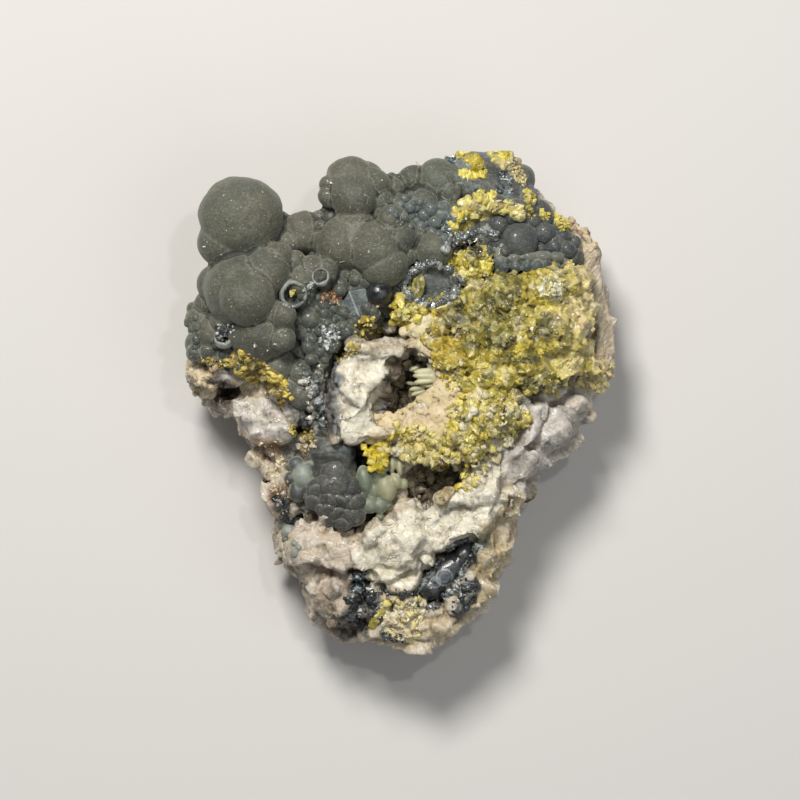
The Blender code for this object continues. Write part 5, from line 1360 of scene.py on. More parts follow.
def make_nugget():
    """The bright yellow nugget: a clump of flat-faced crystals."""
    spots = [(-5.0, -6.2, 0.6), (-4.4, -7.0, 0.7), (-3.6, -6.6, 0.8), (-2.8, -6.0, 0.8), (-2.0, -5.8, 0.8),
             (-1.2, -5.8, 0.7), (-3.9, -8.0, 0.8), (-3.0, -8.0, 0.85), (-2.2, -7.2, 0.9), (-3.6, -9.0, 0.75),
             (-2.8, -9.2, 0.7), (-2.0, -8.4, 0.6), (-4.2, -9.2, 0.5)]
    forms = []
    for number, (x, y, size) in enumerate(spots):
        middle = place(x, y, 21.8 + 0.4 * math.sin(number * 2.3))
        bpy.ops.mesh.primitive_cube_add(size=size * 1.5 * MM, location=middle,
                                        rotation=(0.7 * number, 1.3 * number, 0.4 * number))
        forms += [bpy.context.object, add_ball(x, y, 20.9, size * 0.9)]
    nugget = join(forms, "yellow_nugget_crystals")
    skin(nugget, 0.12)
    points = points_of(nugget)
    push_out(nugget, broken_facets(points, 0.7, 701, 0.2) - 0.05)
    tint = blend(one_color(points, tone(212, 190, 34)), tone(140, 118, 22),
                 clamp01(layered_noise(points, 1.2, 711) * 2))
    return settle(nugget, 12000, tint=tint, crease=clamp01(hollowness(nugget, 6)))


def make_vug_lining(node, name, crystals, seed):
    """The crystal crust of a hollow: the solid's thin cup set with small pointed crystals."""
    cup = copy_node(node, name)
    skin(cup, 0.16)
    points = points_of(cup)
    push_out(cup, broken_facets(points, 1.0, seed, 0.25) - 0.05)
    store(cup, "tint", one_color(points, VUG_BROWN) * (1.2 + 0.8 * soft_noise(points, 1.2, seed)[:, None]))
    limit_faces(cup, 12000)
    forms = [point_crystal(0.8, 1.0, 0.5), point_crystal(1.0, 0.8, 0.7), point_crystal(0.7, 1.3, 0.4)]
    inward = clamp01(normals_of(cup)[:, 2] * 3.0 + 0.6)
    spots, outward = surface_spots(cup, crystals, seed + 1, inward)
    draw = np.random.default_rng(seed + 2)
    tints = np.array(tone(140, 130, 106)) * draw.uniform(0.4, 1.7, (crystals, 1))
    sizes = 0.4 + 1.5 * draw.random(crystals) ** 4.0
    points = strew(name + "_points", forms, spots, outward, sizes, seed + 3, 0.3, 0.7, tints)
    drop(forms)
    return cup, settle(points, None)


# ---------------------------------------------------------------- small growths on the crusts and the rock

class Ground:
    """The skins that small crystals stand on, felt for from above."""

    def __init__(self, pieces):
        self.trees = []
        for piece in pieces:
            faces = [tuple(face.vertices) for face in piece.data.polygons]
            self.trees.append(BVHTree.FromPolygons(points_of(piece).tolist(), faces))

    def under(self, x, y):
        """The highest place on the skins at a point, and its outward direction."""
        best = None
        for tree in self.trees:
            place_hit, outward, _, _ = tree.ray_cast(Vector((x + SHIFT.x, y + SHIFT.y, 60.0)),
                                                     Vector((0, 0, -1)))
            if place_hit is not None and (best is None or place_hit.z > best[0].z):
                best = (place_hit, outward)
        return best


def along_path(path, step, jitter, draw):
    """Places strung along a path with some scatter."""
    places = []
    for start, end in zip(path, path[1:]):
        length = math.dist(start, end)
        for number in range(max(1, int(length / step))):
            share = (number + draw.random()) * step / length
            places.append((start[0] + (end[0] - start[0]) * share + draw.gauss(0, jitter),
                           start[1] + (end[1] - start[1]) * share + draw.gauss(0, jitter)))
    return places


def over_outline(outline, count, draw):
    """Random places inside an outline."""
    places = []
    while len(places) < count:
        x, y = place_within(outline, draw)
        if inside(outline, x, y):
            places.append((x, y))
    return places


def places_of(where, how, draw):
    """A patch's places: a number over an outline, a step and scatter along a path, or just those given."""
    if how is None:
        return where
    if isinstance(how, tuple):
        return along_path(where, *how, draw)
    return over_outline(where, how, draw)


def sprinkle(name, ground, patches, forms, seed, spread, place_draw):
    """Small crystals let down on the ground in patches."""
    draw = random.Random(seed)
    spots, outward, sizes, tints = [], [], [], []
    for where, how, (low, high), colors, rise in patches:
        for x, y in places_of(where, how, place_draw):
            found = ground.under(x, y)
            if found is None:
                continue
            size = low + (high - low) * draw.random() ** 1.7
            spots.append(np.array(found[0]) + np.array([0, 0, draw.uniform(0, rise)]))
            outward.append(np.array(found[1]))
            sizes.append(size)
            tints.append(np.array(draw.choice(colors)) * draw.uniform(0.86, 1.12))
    made = strew(name, forms, np.array(spots), np.array(outward), sizes, seed, 0.3, spread, np.array(tints))
    return settle(made, None, crease=0.0)


SLAB_OUTLINE = [(-8.4, 12.9), (-7.4, 11.8), (-6.3, 11.1), (-4.9, 12.2), (-4.2, 14.3), (-4.8, 15.7),
                (-7.0, 15.4)]
YELLOWS = [tone(222, 204, 72), tone(206, 182, 50), tone(230, 216, 112), tone(180, 164, 62),
           tone(224, 212, 152)]
OCHRES = [tone(196, 170, 68), tone(172, 146, 60), tone(210, 188, 84), tone(152, 128, 58),
          tone(214, 198, 130)]
SHADES = [tone(66, 62, 46), tone(92, 86, 58), tone(50, 48, 40)]
SILVERS = [tone(160, 166, 162), tone(44, 48, 48), tone(92, 98, 98), tone(208, 212, 206), tone(66, 70, 70)]
BLACKS = [tone(30, 32, 36), tone(48, 52, 58), tone(74, 82, 90), tone(120, 128, 134)]
BLUES = [tone(128, 144, 150), tone(96, 112, 120), tone(160, 172, 174), tone(76, 90, 98)]
CREAMS = [tone(212, 200, 170), tone(196, 180, 146), tone(222, 214, 192), tone(180, 160, 124)]


# Outlines and paths of thin crusts, and of crystals on them.
CHUNK = [(7, 19.9), (9, 19.6), (11.9, 19.4), (11.4, 17.6), (8.4, 17.1), (7, 18)]
BELOW = [(-1, -3.3), (3.4, -3.6), (6.8, -6), (9.6, -9.4), (8.2, -10), (5.2, -8.9), (1, -7.8), (-1.6, -6.4)]
RING = [(0.5, 16.2), (1.0, 17.8), (2.8, 18.9), (4.8, 19.1), (6.8, 18.6), (8.3, 17.2), (8.2, 15.4),
        (6.8, 14.1), (5.0, 13.6), (3.0, 13.6), (1.3, 14.5), (0.5, 16.2)]
LENS_LEFT = [(2.2, -27.6), (2.5, -26.3), (4.2, -23.9), (5.6, -22.1), (7, -20.5), (8.1, -19.5), (9.8, -19.1)]
LENS_RIGHT = [(10.9, -20), (9.9, -22.1), (8.9, -23.5), (8.4, -25.2), (5.8, -27.6), (3.5, -28.9)]
SECOND_RIM = [(6.2, 20.8), (6.6, 22.2), (8.2, 23.1), (10.2, 23.6), (12.2, 23.8), (13.6, 22.8)]
BLACK_PATCH = [(-7.2, -24.6), (-5.4, -23.8), (-3.2, -26), (-3.0, -30.2), (-5, -30.8), (-6.8, -29.8)]
SECOND_RIM = [(6.2, 20.8), (6.6, 22.2), (8.2, 23.1), (10.2, 23.6), (12.2, 23.8), (13.6, 22.8)]
BLACK_PATCH = [(-7.2, -24.6), (-5.4, -23.8), (-3.2, -26), (-3.0, -30.2), (-5, -30.8), (-6.8, -29.8)]
COLUMN = [(-13.4, 4.4), (-12.0, 2.2), (-11.0, -0.6), (-10.8, -3.8)]
POROUS_PATCH = [(-2.8, -27.6), (3, -27.4), (3.4, -30.5), (1.6, -33.4), (-2, -32)]
BROWNS = [tone(206, 192, 142), tone(196, 176, 128), tone(220, 212, 170)]

# Patches of small crystals: outline or path, how they stand on it, sizes, colours, rise above the ground.
# Yellow ones outside the yellow crust.
YELLOW_PATCHES = [
    (RIDGE_PATCH, 60, (0.2, 0.5), YELLOWS + [PINK_CREAM, CREAM], 0.1),
    (CORNER_PATCH, 20, (0.2, 0.5), YELLOWS, 0.1),
    (SECOND_PATCH, 20, (0.2, 0.5), YELLOWS + [CREAM], 0.1),
    ([(15, 34), (17.6, 31.6), (17, 29.8), (15.6, 31.4)], 50, (0.4, 0.9), [PINK_CREAM, CREAM], 0.3),
    ([(14, 9), (15.8, 8.8), (15.6, 6.6), (14, 6.8)], 20, (0.4, 0.9), SHADES, 0.4),
    ([(16.4, 3.4), (19.4, 3.2), (19, 1.6), (16.8, 1.8)], 26, (0.4, 0.9), SHADES, 0.3),
    # Pale clear grains: their whiteness is partly their own and partly a painted glint.
    ([(19.6, 17.2), (22.4, 16.8), (22, 14.2), (19.6, 14.6)], 70, (0.4, 1.0),
     [tone(222, 218, 184), tone(200, 196, 150), tone(232, 230, 210)], 0.5),
    (CHUNK, 50, (0.3, 0.8), YELLOWS[:3], 0.3),
    ([(17.1, 29.6), (18.2, 29.3), (18.8, 27.9), (17.6, 27.6)], 24, (0.4, 0.9), YELLOWS, 0.4),
    ([(17.5, 27.3), (18.3, 27.3), (18.5, 25.5), (17.6, 25.5)], 22, (0.4, 0.8), YELLOWS, 0.4),
    ([(19.4, 26.6), (20.7, 26.2), (20.8, 25.2), (19.6, 25.4)], 22, (0.4, 0.9), YELLOWS, 0.4),
    ([(21.5, 26.4), (23.1, 25.6), (24, 23.8), (22.4, 23.6)], 40, (0.4, 0.9), YELLOWS, 0.4),
    (LEFT_STRIP, 120, (0.2, 0.5), OCHRES, 0.1),
    ([(-27.6, 6.2), (-24, 5.8), (-23.4, 4.6), (-27.4, 5.2)], 60, (0.2, 0.5), OCHRES, 0.2),
    ([(-0.9, 13.6), (2.4, 13.2), (2.3, 10.8), (-0.6, 11.4)], 46, (0.5, 1.2), YELLOWS, 0.4),
    ([(-6.4, 11.6), (-2.6, 11.2), (-2.8, 9.2), (-6.2, 9)], 52, (0.4, 1.0), OCHRES, 0.4),
    ([(-9.2, 7.4), (-6.2, 8), (-5.6, 7), (-9, 5.4)], 40, (0.3, 0.8), OCHRES, 0.3),
    ([(-3.9, 14.6), (-2.6, 15), (-2.2, 13.6), (-3.6, 13.1)], 26, (0.4, 0.9), [PALE_YELLOW, CREAM], 0.6),
    ([(-15.2, 15.3), (-14.4, 15.4), (-14.3, 14.5), (-15.1, 14.5)], 9, (0.4, 0.7), YELLOWS, 0.4),
    ([(-15.8, -3.1), (-12.2, -3.6), (-11.9, -5.5), (-14, -5.6)], 44, (0.3, 0.8), OCHRES, 0.3),
    (SCATTERED, 260, (0.25, 0.7), YELLOWS + CREAMS[:2] + [PALE_YELLOW], 0.05),
    (BELOW, 140, (0.2, 0.6), YELLOWS + CREAMS[:2] + [PALE_YELLOW], 0.05),
    ([(4, 5), (8, 8), (10, 2), (9, -4), (6, -2), (6.6, 2)], 90, (0.3, 0.7), YELLOWS + CREAMS, 0.1),
]
# Grey, silver and black glassy ones.
GLASSY_PATCHES = [
    # Pale glossy chips at single spots: their near-white colour is partly their own and partly a painted
    # glint.
    ([(-26.9, 21.4), (-9.4, 30.2), (-4.3, 20.7), (-20.0, 7.8), (-18.2, 7.1), (-17.1, 8.0)], None,
     (0.35, 0.6), SILVERS[3:4], 0.0),
    (RING, (0.16, 0.22), (0.3, 0.8), SILVERS, 0.3),
    ([(6.6, 21.6), (8.2, 22.9), (10.2, 23.5), (12.2, 23.7), (13.4, 22.8), (13.2, 21.2)], (0.17, 0.25),
     (0.3, 0.8), SILVERS, 0.3),
    (LENS_LEFT, (0.2, 0.2), (0.25, 0.7), SILVERS + BLACKS, 0.2),
    (LENS_RIGHT, (0.2, 0.3), (0.25, 0.8), SILVERS + BLACKS, 0.2),
    ([(-11, 10.4), (-9, 10.8), (-8, 9), (-9, 7.4), (-11, 7.8)], 150, (0.3, 0.9),
     [SILVERS[0], SILVERS[3], tone(226, 230, 224), SILVERS[2]], 0.6),
    ([(5.6, 25.8), (8.2, 24.4), (8.4, 22.7), (6, 22.9)], 60, (0.3, 0.9), BLUES + SILVERS[3:4], 0.3),
    ([(6.2, 34.7), (7.2, 35), (8.3, 33.6), (7.4, 33)], 40, (0.3, 0.9), BLUES, 0.3),
    ([(14, 32.6), (15.6, 32.4), (15.6, 28.8), (14.2, 28.6)], 24, (0.3, 0.8), BLUES + SILVERS, 0.2),
    (COLUMN, (0.16, 0.35), (0.3, 0.9), SILVERS, 0.4),
    ([(-16.0, 13.2), (-13.2, 13.2), (-12.4, 15), (-12.6, 16.6)], (0.2, 0.25), (0.25, 0.7), SILVERS, 0.3),
    ([(-12.2, 16.2), (-10.6, 16.0), (-9.4, 14.8), (-9.0, 13.4)], (0.2, 0.3), (0.25, 0.7), SILVERS, 0.3),
    ([(-11.0, 15.6), (-8.4, 15.2), (-8.2, 14.0), (-10.6, 13.8)], 60, (0.35, 0.8),
     [tone(170, 112, 64), tone(140, 88, 52), tone(190, 140, 84)], 0.4),
    ([(-25.6, 10.8), (-22.8, 10.6), (-22.6, 8.6), (-25.2, 8.2)], 40, (0.25, 0.8), SILVERS, 0.2),
    ([(-7.3, -24), (-2.8, -25.8), (-2.6, -30.4), (-7, -30)], 60, (0.2, 0.7), SILVERS, 0.2),
    ([(-2.6, -25.8), (3.2, -26.2), (2.6, -27.1), (-2.6, -26.9)], 40, (0.2, 0.5), SILVERS, 0.1),
    ([(-2.8, -31.8), (0.2, -32.4), (0.4, -33.6), (-2.4, -33.4)], 50, (0.2, 0.8), BLACKS, 0.1),
    ([(-6.8, -23.4), (-5, -23.2), (-4.8, -26), (-6.4, -26)], 40, (0.3, 0.9), BLUES, 0.2),
    ([(8.8, -24.9), (10.6, -25.2), (10.6, -27.7), (7.4, -30.4), (7.2, -28.2)], 30, (0.2, 0.6), SILVERS, 0.1),
    ([(11, 20.6), (8.4, 20.8), (8, 22.2), (11.4, 22.6)], 50, (0.3, 0.9),
     [tone(92, 86, 58), tone(70, 68, 50)], 0.3),
    ([(15.1, -13.6), (16.0, -13.6), (15.8, -15.0), (15.0, -15.0)], 12, (0.2, 0.5), BLACKS, 0.0),
    ([(-17.8, -13.2), (-15.4, -13.6), (-14.6, -17), (-16.6, -17.4)], 24, (0.2, 0.6), SILVERS, 0.1),
]
# Cream and white grains on the rock.
STONE_PATCHES = [
    (POROUS_PATCH, 160, (0.2, 0.6), CREAMS + BROWNS, 0.1),
    ([(-14, -4.6), (-11.6, -5), (-11.8, -7.4), (-14, -7)], 40, (0.3, 0.8), CREAMS, 0.1),
    ([(-19.8, -5.6), (-16.6, -5.2), (-15.2, -14), (-18, -13)], 60, (0.2, 0.8), CREAMS[1:] + BROWNS, 0.0),
    ([(15.6, -12), (17.2, -14), (13, -27), (10.6, -29.6), (12.4, -22)], 90, (0.15, 0.45), CREAMS, 0.0),
    ([(-6, -19), (3, -14.6), (14, -9), (14, -12), (8, -19), (2, -23), (-6, -22)], 120, (0.12, 0.4),
     [tone(228, 226, 216), tone(206, 190, 150), tone(240, 238, 232)], 0.0),
]


def lumps_along(path, step, jitter, sizes, draw):
    """Lumps strung along a path: x, y, size."""
    return [(x, y, draw.uniform(*sizes)) for x, y in along_path(path, step, jitter, draw)]


def lumps_over(outline, count, sizes, seed):
    """Lumps crowded over an outline: x, y, size."""
    return [(x, y, size) for x, y, _, size in crowd(outline, count, 0, 1, sizes, seed)]


def heap(name, ground, lumps, seed, spacing, colors, rough, rise, crisp):
    """Lumps set on the ground and fused into one skin, rounded or broken into flat faces."""
    draw = random.Random(seed)
    balls = []
    for x, y, size in lumps:
        found = ground.under(x, y)
        if found is not None:
            balls.append((x, y, found[0].z + size * draw.uniform(*rise), size))
    made = join([add_ball(*ball, detail=2 if ball[3] < 0.8 else 3) for ball in balls], name)
    skin(made, spacing)
    points = points_of(made)
    push = rough * layered_noise(points, 1.0, seed, 3)
    if crisp:
        push += broken_facets(points, 1.2, seed, crisp) + broken_facets(points, 0.6, seed + 1, crisp * 0.7)
    push_out(made, push)
    shares, _ = form_shares(points, balls, 0.15)
    tint = shares.T @ np.array([draw.choice(colors) for _ in balls])
    return settle(made, 29000, tint=tint, crease=clamp01(hollowness(made, 5) * 1.5), rings=0.0, gloss=0.0)


def make_fingers():
    """The cream fingers that reach into the upper hollow."""
    lobes = [(3.5, 4.3, 19.6, 1.7, 0.42, 0.42, 4), (3.6, 3.6, 19.9, 1.9, 0.44, 0.45, -2),
             (3.7, 2.9, 19.8, 1.8, 0.44, 0.42, 6), (4.1, 2.3, 19.3, 1.4, 0.4, 0.4, -8),
             (2.4, 1.9, 18.8, 1.2, 0.36, 0.36, 10), (2.6, 1.3, 18.6, 1.1, 0.34, 0.34, 18),
             (3.2, 0.8, 18.6, 0.9, 0.3, 0.3, 25), (4.6, 5.0, 19.4, 1.0, 0.5, 0.45, -20),
             (5.2, 3.6, 19.6, 1.0, 1.6, 0.9, 0), (1.9, 4.6, 19.0, 0.7, 0.3, 0.3, 20),
             (1.5, 2.6, 18.4, 0.7, 0.28, 0.3, -10)]
    fingers = join([add_lobe(*lobe) for lobe in lobes], "vug_fingers")
    skin(fingers, 0.11)
    points = points_of(fingers)
    push_out(fingers, 0.05 * layered_noise(points, 0.7, 951))
    return settle(fingers, 10000, tint=one_color(points, tone(190, 186, 150)),
                  crease=clamp01(hollowness(fingers, 8) * 2.0))


def make_sliver(ground):
    """The flat yellow shard beside the dark crust, thick at one end and drawn to a point at the other."""
    level = ground.under(-3.1, -29.8)[0].z
    bpy.ops.mesh.primitive_cube_add(size=MM)
    shard = bpy.context.object
    bpy.ops.object.mode_set(mode="EDIT")
    bpy.ops.transform.resize(value=(1.3, 3.9, 0.7))
    bpy.ops.mesh.subdivide(number_cuts=2)
    for along, width in ((2.0, 0.35), (0.7, 0.8), (-0.7, 1.0), (-2.0, 0.5)):
        bpy.ops.mesh.select_all(action="DESELECT")
        bpy.ops.object.mode_set(mode="OBJECT")
        for vertex in shard.data.vertices:
            vertex.select = abs(vertex.co.y / MM - along) < 0.3
        bpy.ops.object.mode_set(mode="EDIT")
        bpy.ops.mesh.select_mode(type="VERT")
        bpy.ops.transform.resize(value=(width, 1.0, 0.6 + 0.4 * width), center_override=(0.0, 0.0, 0.0))
    bpy.ops.object.mode_set(mode="OBJECT")
    shard.rotation_euler = (0.10, 0.55, math.radians(-27))
    shard.location = place(-3.1, -29.8, level + 0.15)
    shard = join([shard], "yellow_sliver")
    skin(shard, 0.10)
    points = points_of(shard)
    push_out(shard, broken_facets(points, 0.9, 985, 0.14))
    tint = blend(one_color(points, tone(188, 174, 66)), tone(214, 204, 128),
                 clamp01(2.5 * layered_noise(points, 1.6, 987)))
    return settle(shard, None, tint=tint, crease=0.0)


def make_leaf():
    """The flat olive crystal, pointed at both ends, that stands in the glassy ring."""
    halves = []
    for turn in (1.25, 1.25 + math.pi):
        half = point_crystal(2.0, 0.9, 1.1, 5)
        half.rotation_euler = (0.0, math.pi / 2, turn)
        half.scale = (0.55, 1.0, 1.0)
        half.location = place(2.5, 15.9, 21.0)
        halves.append(half)
    leaf = join(halves, "olive_leaf_crystal")
    skin(leaf, 0.09)
    points = points_of(leaf)
    tint = blend(one_color(points, tone(104, 100, 42)), tone(150, 146, 78),
                 clamp01(layered_noise(points, 1.0, 991) * 3.0))
    return settle(leaf, None, tint=tint, crease=0.0)


def make_broken_balls(ground):
    """Balls broken open, with thick glossy rims painted paler toward their tops as a painted highlight."""
    bowls, rims = [], []
    for x, y, radius, lean in ((-14.7, 15.0, 2.1, 0.25), (-10.9, 17.2, 1.4, -0.2), (-24.2, 9.0, 1.7, -0.4)):
        level = ground.under(x, y)[0].z
        bpy.ops.mesh.primitive_ico_sphere_add(subdivisions=4, radius=radius * MM,
                                              location=place(x, y, level + radius * 0.05))
        bowl = bpy.context.object
        bowl.rotation_euler = (lean, lean * 0.6, 0.0)
        only(bowl)
        bpy.ops.object.transform_apply(location=True, rotation=True, scale=True)
        bpy.ops.object.mode_set(mode="EDIT")
        bpy.ops.mesh.select_all(action="SELECT")
        top = place(x, y, level + radius * 0.62)
        rims.append((x + SHIFT.x, y + SHIFT.y, level, radius))
        bpy.ops.mesh.bisect(plane_co=top, plane_no=(lean * 0.5, -lean, 1.0), clear_outer=True)
        bpy.ops.object.mode_set(mode="OBJECT")
        change(bowl, "SOLIDIFY", thickness=radius * 0.22 * MM, offset=-1.0)
        bowls.append(bowl)
    bowls = join(bowls, "broken_balls")
    skin(bowls, 0.11)
    points = points_of(bowls)
    push_out(bowls, 0.20 * layered_noise(points, 1.1, 971, 3))
    # Painted highlight: the rims paler toward their tops.
    shade = np.zeros(len(points))
    for x, y, level, radius in rims:
        near = np.hypot(points[:, 0] - x, points[:, 1] - y) < radius * 1.3
        shade += near * clamp01((points[:, 2] - level) / radius * 4.0 - 1.2)
    tint = blend(one_color(points, tone(66, 72, 70)), tone(160, 168, 162), clamp01(shade) * 0.75)
    return settle(bowls, 22000, tint=tint, crease=clamp01(hollowness(bowls, 8) * 1.5),
                  gloss=clamp01(0.4 + layered_noise(points, 1.5, 973)))


def make_slab(ground):
    """The loose blue-grey plate that leans on the bubbles."""
    level = ground.under(-6.4, 13.8)[0].z
    bpy.ops.mesh.primitive_cube_add(size=MM, location=place(-6.4, 13.9, level + 0.3),
                                    rotation=(0.18, -0.22, 0.5))
    slab = bpy.context.object
    bpy.ops.object.mode_set(mode="EDIT")
    bpy.ops.transform.resize(value=(5.6, 5.6, 0.7), orient_type="LOCAL")
    for start, end in zip(SLAB_OUTLINE, SLAB_OUTLINE[1:] + SLAB_OUTLINE[:1]):
        bpy.ops.mesh.select_all(action="SELECT")
        normal = Vector((end[1] - start[1], start[0] - end[0], 0.0)).normalized()
        bpy.ops.mesh.bisect(plane_co=place(*start, level), plane_no=normal, use_fill=True, clear_outer=True)
    bpy.ops.mesh.select_all(action="SELECT")
    bpy.ops.mesh.bevel(offset=0.14 * MM, segments=2, affect="EDGES")
    bpy.ops.object.mode_set(mode="OBJECT")
    slab = join([slab], "blue_grey_slab")
    skin(slab, 0.10)
    points = points_of(slab)
    push_out(slab, 0.05 * layered_noise(points, 1.2, 981))
    across, along = points[:, 0] - SHIFT.x + 6.6, points[:, 1] - SHIFT.y - 14.2
    scratch = band(across * 0.93 + along * 0.37, 0.0, 0.09)
    tint = blend(one_color(points, tone(82, 92, 95)), tone(118, 126, 124),
                 clamp01(2.0 * layered_noise(points, 1.4, 983)))
    return settle(slab, None, tint=blend(tint, tone(190, 198, 198), scratch * 0.7), crease=0.0, gloss=0.6)


def make_shells(ground):
    """Round shells that lie over each other in the hollows, each with a painted pale rim sheen."""
    valley = [ball[:2] + ball[3:] for ball in BUBBLES + crowd(BUBBLE_VALLEY, 46, 0, 1, (0.5, 1.1), 25)
              + crowd(LEFT_VALLEY, 14, 0, 1, (0.5, 1.0), 26)]
    blue = [ball[:2] + ball[3:] for ball in crowd(BLUE_VALLEY, 26, 0, 1, (0.5, 1.1), 27)]
    # Each group: its shells, their colour, the colour of their painted rim sheen, and the middle they lean
    # away from, if any.
    groups = [(valley, tone(66, 72, 65), tone(146, 152, 138), None),
              (blue, tone(80, 90, 89), tone(152, 160, 152), None),
              (HOLLOW_SHELLS, tone(60, 66, 67), tone(112, 118, 114), None),
              (FAN_SHELLS, tone(58, 60, 58), tone(132, 134, 124), (-8.6, -11.0))]
    draw = random.Random(93)
    parts = []
    for shells, color, rim, middle in groups:
        thick = 0.8 if middle is None else 0.46
        bpy.ops.mesh.primitive_ico_sphere_add(subdivisions=3, radius=MM)
        form = bpy.context.object
        form.scale = (1.0, 1.0, thick)
        form = join([form], "shell_form")
        height = points_of(form)[:, 2] / thick
        spots, outward, sizes, shades = [], [], [], []
        for x, y, size in shells:
            found = ground.under(x, y)
            way = Vector((0.0, 0.0, 1.0)) if middle is None else Vector((x - middle[0], y - middle[1], 4.0))
            spots.append(np.array(found[0]) + np.array([0.0, 0.0, draw.uniform(-0.3, 0.1) * size]))
            outward.append(np.array((way.normalized() * 1.5 + found[1]).normalized()))
            sizes.append(size if middle is None else size * 1.25)
            shades.append(draw.uniform(0.75, 1.25))
        shades = np.array(shades)[:, None]
        part = strew("round_shells", [form], np.array(spots), np.array(outward), sizes, 94, 0.15, 0.12,
                     np.array(color) * shades)
        drop([form])
        points = points_of(part)
        push_out(part, 0.12 * layered_noise(points, 1.4, 95, 3))
        # Painted sheen: a pale ring low on each shell.
        sheen_ring = np.tile(band(height, 0.34, 0.15), len(spots)) * clamp01(0.6 + layered_noise(points, 1.2, 96))
        tint = np.repeat(np.array(color) * shades, len(height), axis=0)
        tint += (np.repeat(np.array(rim) * shades, len(height), axis=0) - tint) * (0.8 * sheen_ring)[:, None]
        part.data.attributes.remove(part.data.attributes["tint"])
        store(part, "tint", tint)
        parts.append(part)
    return settle(join(parts, "round_shells"), crease=0.0, gloss=0.35)


def make_black_ball():
    """The glossy black ball between the bubbles and the yellow crust."""
    forms = [add_ball(-2.9, 15.1, 21.9, 1.85, 5), add_lobe(-2.9, 14.6, 21.2, 1.9, 1.6, 1.4, 0)]
    ball = join(forms, "black_glassy_ball")
    skin(ball, 0.12)
    return settle(ball, None, rings=0.0)


def make_dust(crust):
    """Dust specks and fibres that lie on the grey crust."""
    forms = [chip(1.0, 0.5, 0.1, 41), chip(1.3, 0.4, 0.0, 42)]
    up = clamp01((normals_of(crust)[:, 2] - 0.25) * 2.0) * (points_of(crust)[:, 0] < 7.0)
    count = 420
    spots, outward = surface_spots(crust, count, 43, up)
    draw = np.random.default_rng(44)
    pale = np.array([tone(196, 192, 176)]) * draw.uniform(0.5, 1.1, (count, 1))
    sizes = 0.08 + 0.16 * draw.random(count) ** 3
    specks = strew("dust_specks", forms, spots, outward, sizes, 45, 0.1, 0.3, pale)
    drop(forms)
    thread = point_crystal(0.07, 0.9, 0.05, 5)
    count = 46
    spots, outward = surface_spots(crust, count, 46, up)
    level = np.cross(outward, random_unit(draw, count))
    level /= np.linalg.norm(level, axis=1)[:, None]
    lengths = draw.uniform(0.3, 0.9, count)
    shades = np.array([tone(214, 212, 200)]) * draw.uniform(0.7, 1.1, (count, 1))
    fibres = strew("dust_fibres", [thread], spots + outward * 0.06, level, lengths, 47, 0.0, 0.1, shades)
    drop([thread])
    return settle(join([specks, fibres], "dust_on_crust"), None, crease=0.0, gloss=0.0)


# ---------------------------------------------------------------- the specimen

FINISHES = {"stone": rock_finish, "grey": grey_finish, "yellow": yellow_finish, "pale": pale_finish,
            "glass": lens_finish, "crystal": crystal_finish, "rim": rim_finish, "chalk": cream_finish}
# Loose pale blades in the corner's hollow.
BLADE_PATCHES = [([(13.6, 32.2), (15.8, 32.0), (15.6, 28.6), (13.4, 28.8)], 13, (0.6, 1.3), BLUES, 0.1)]


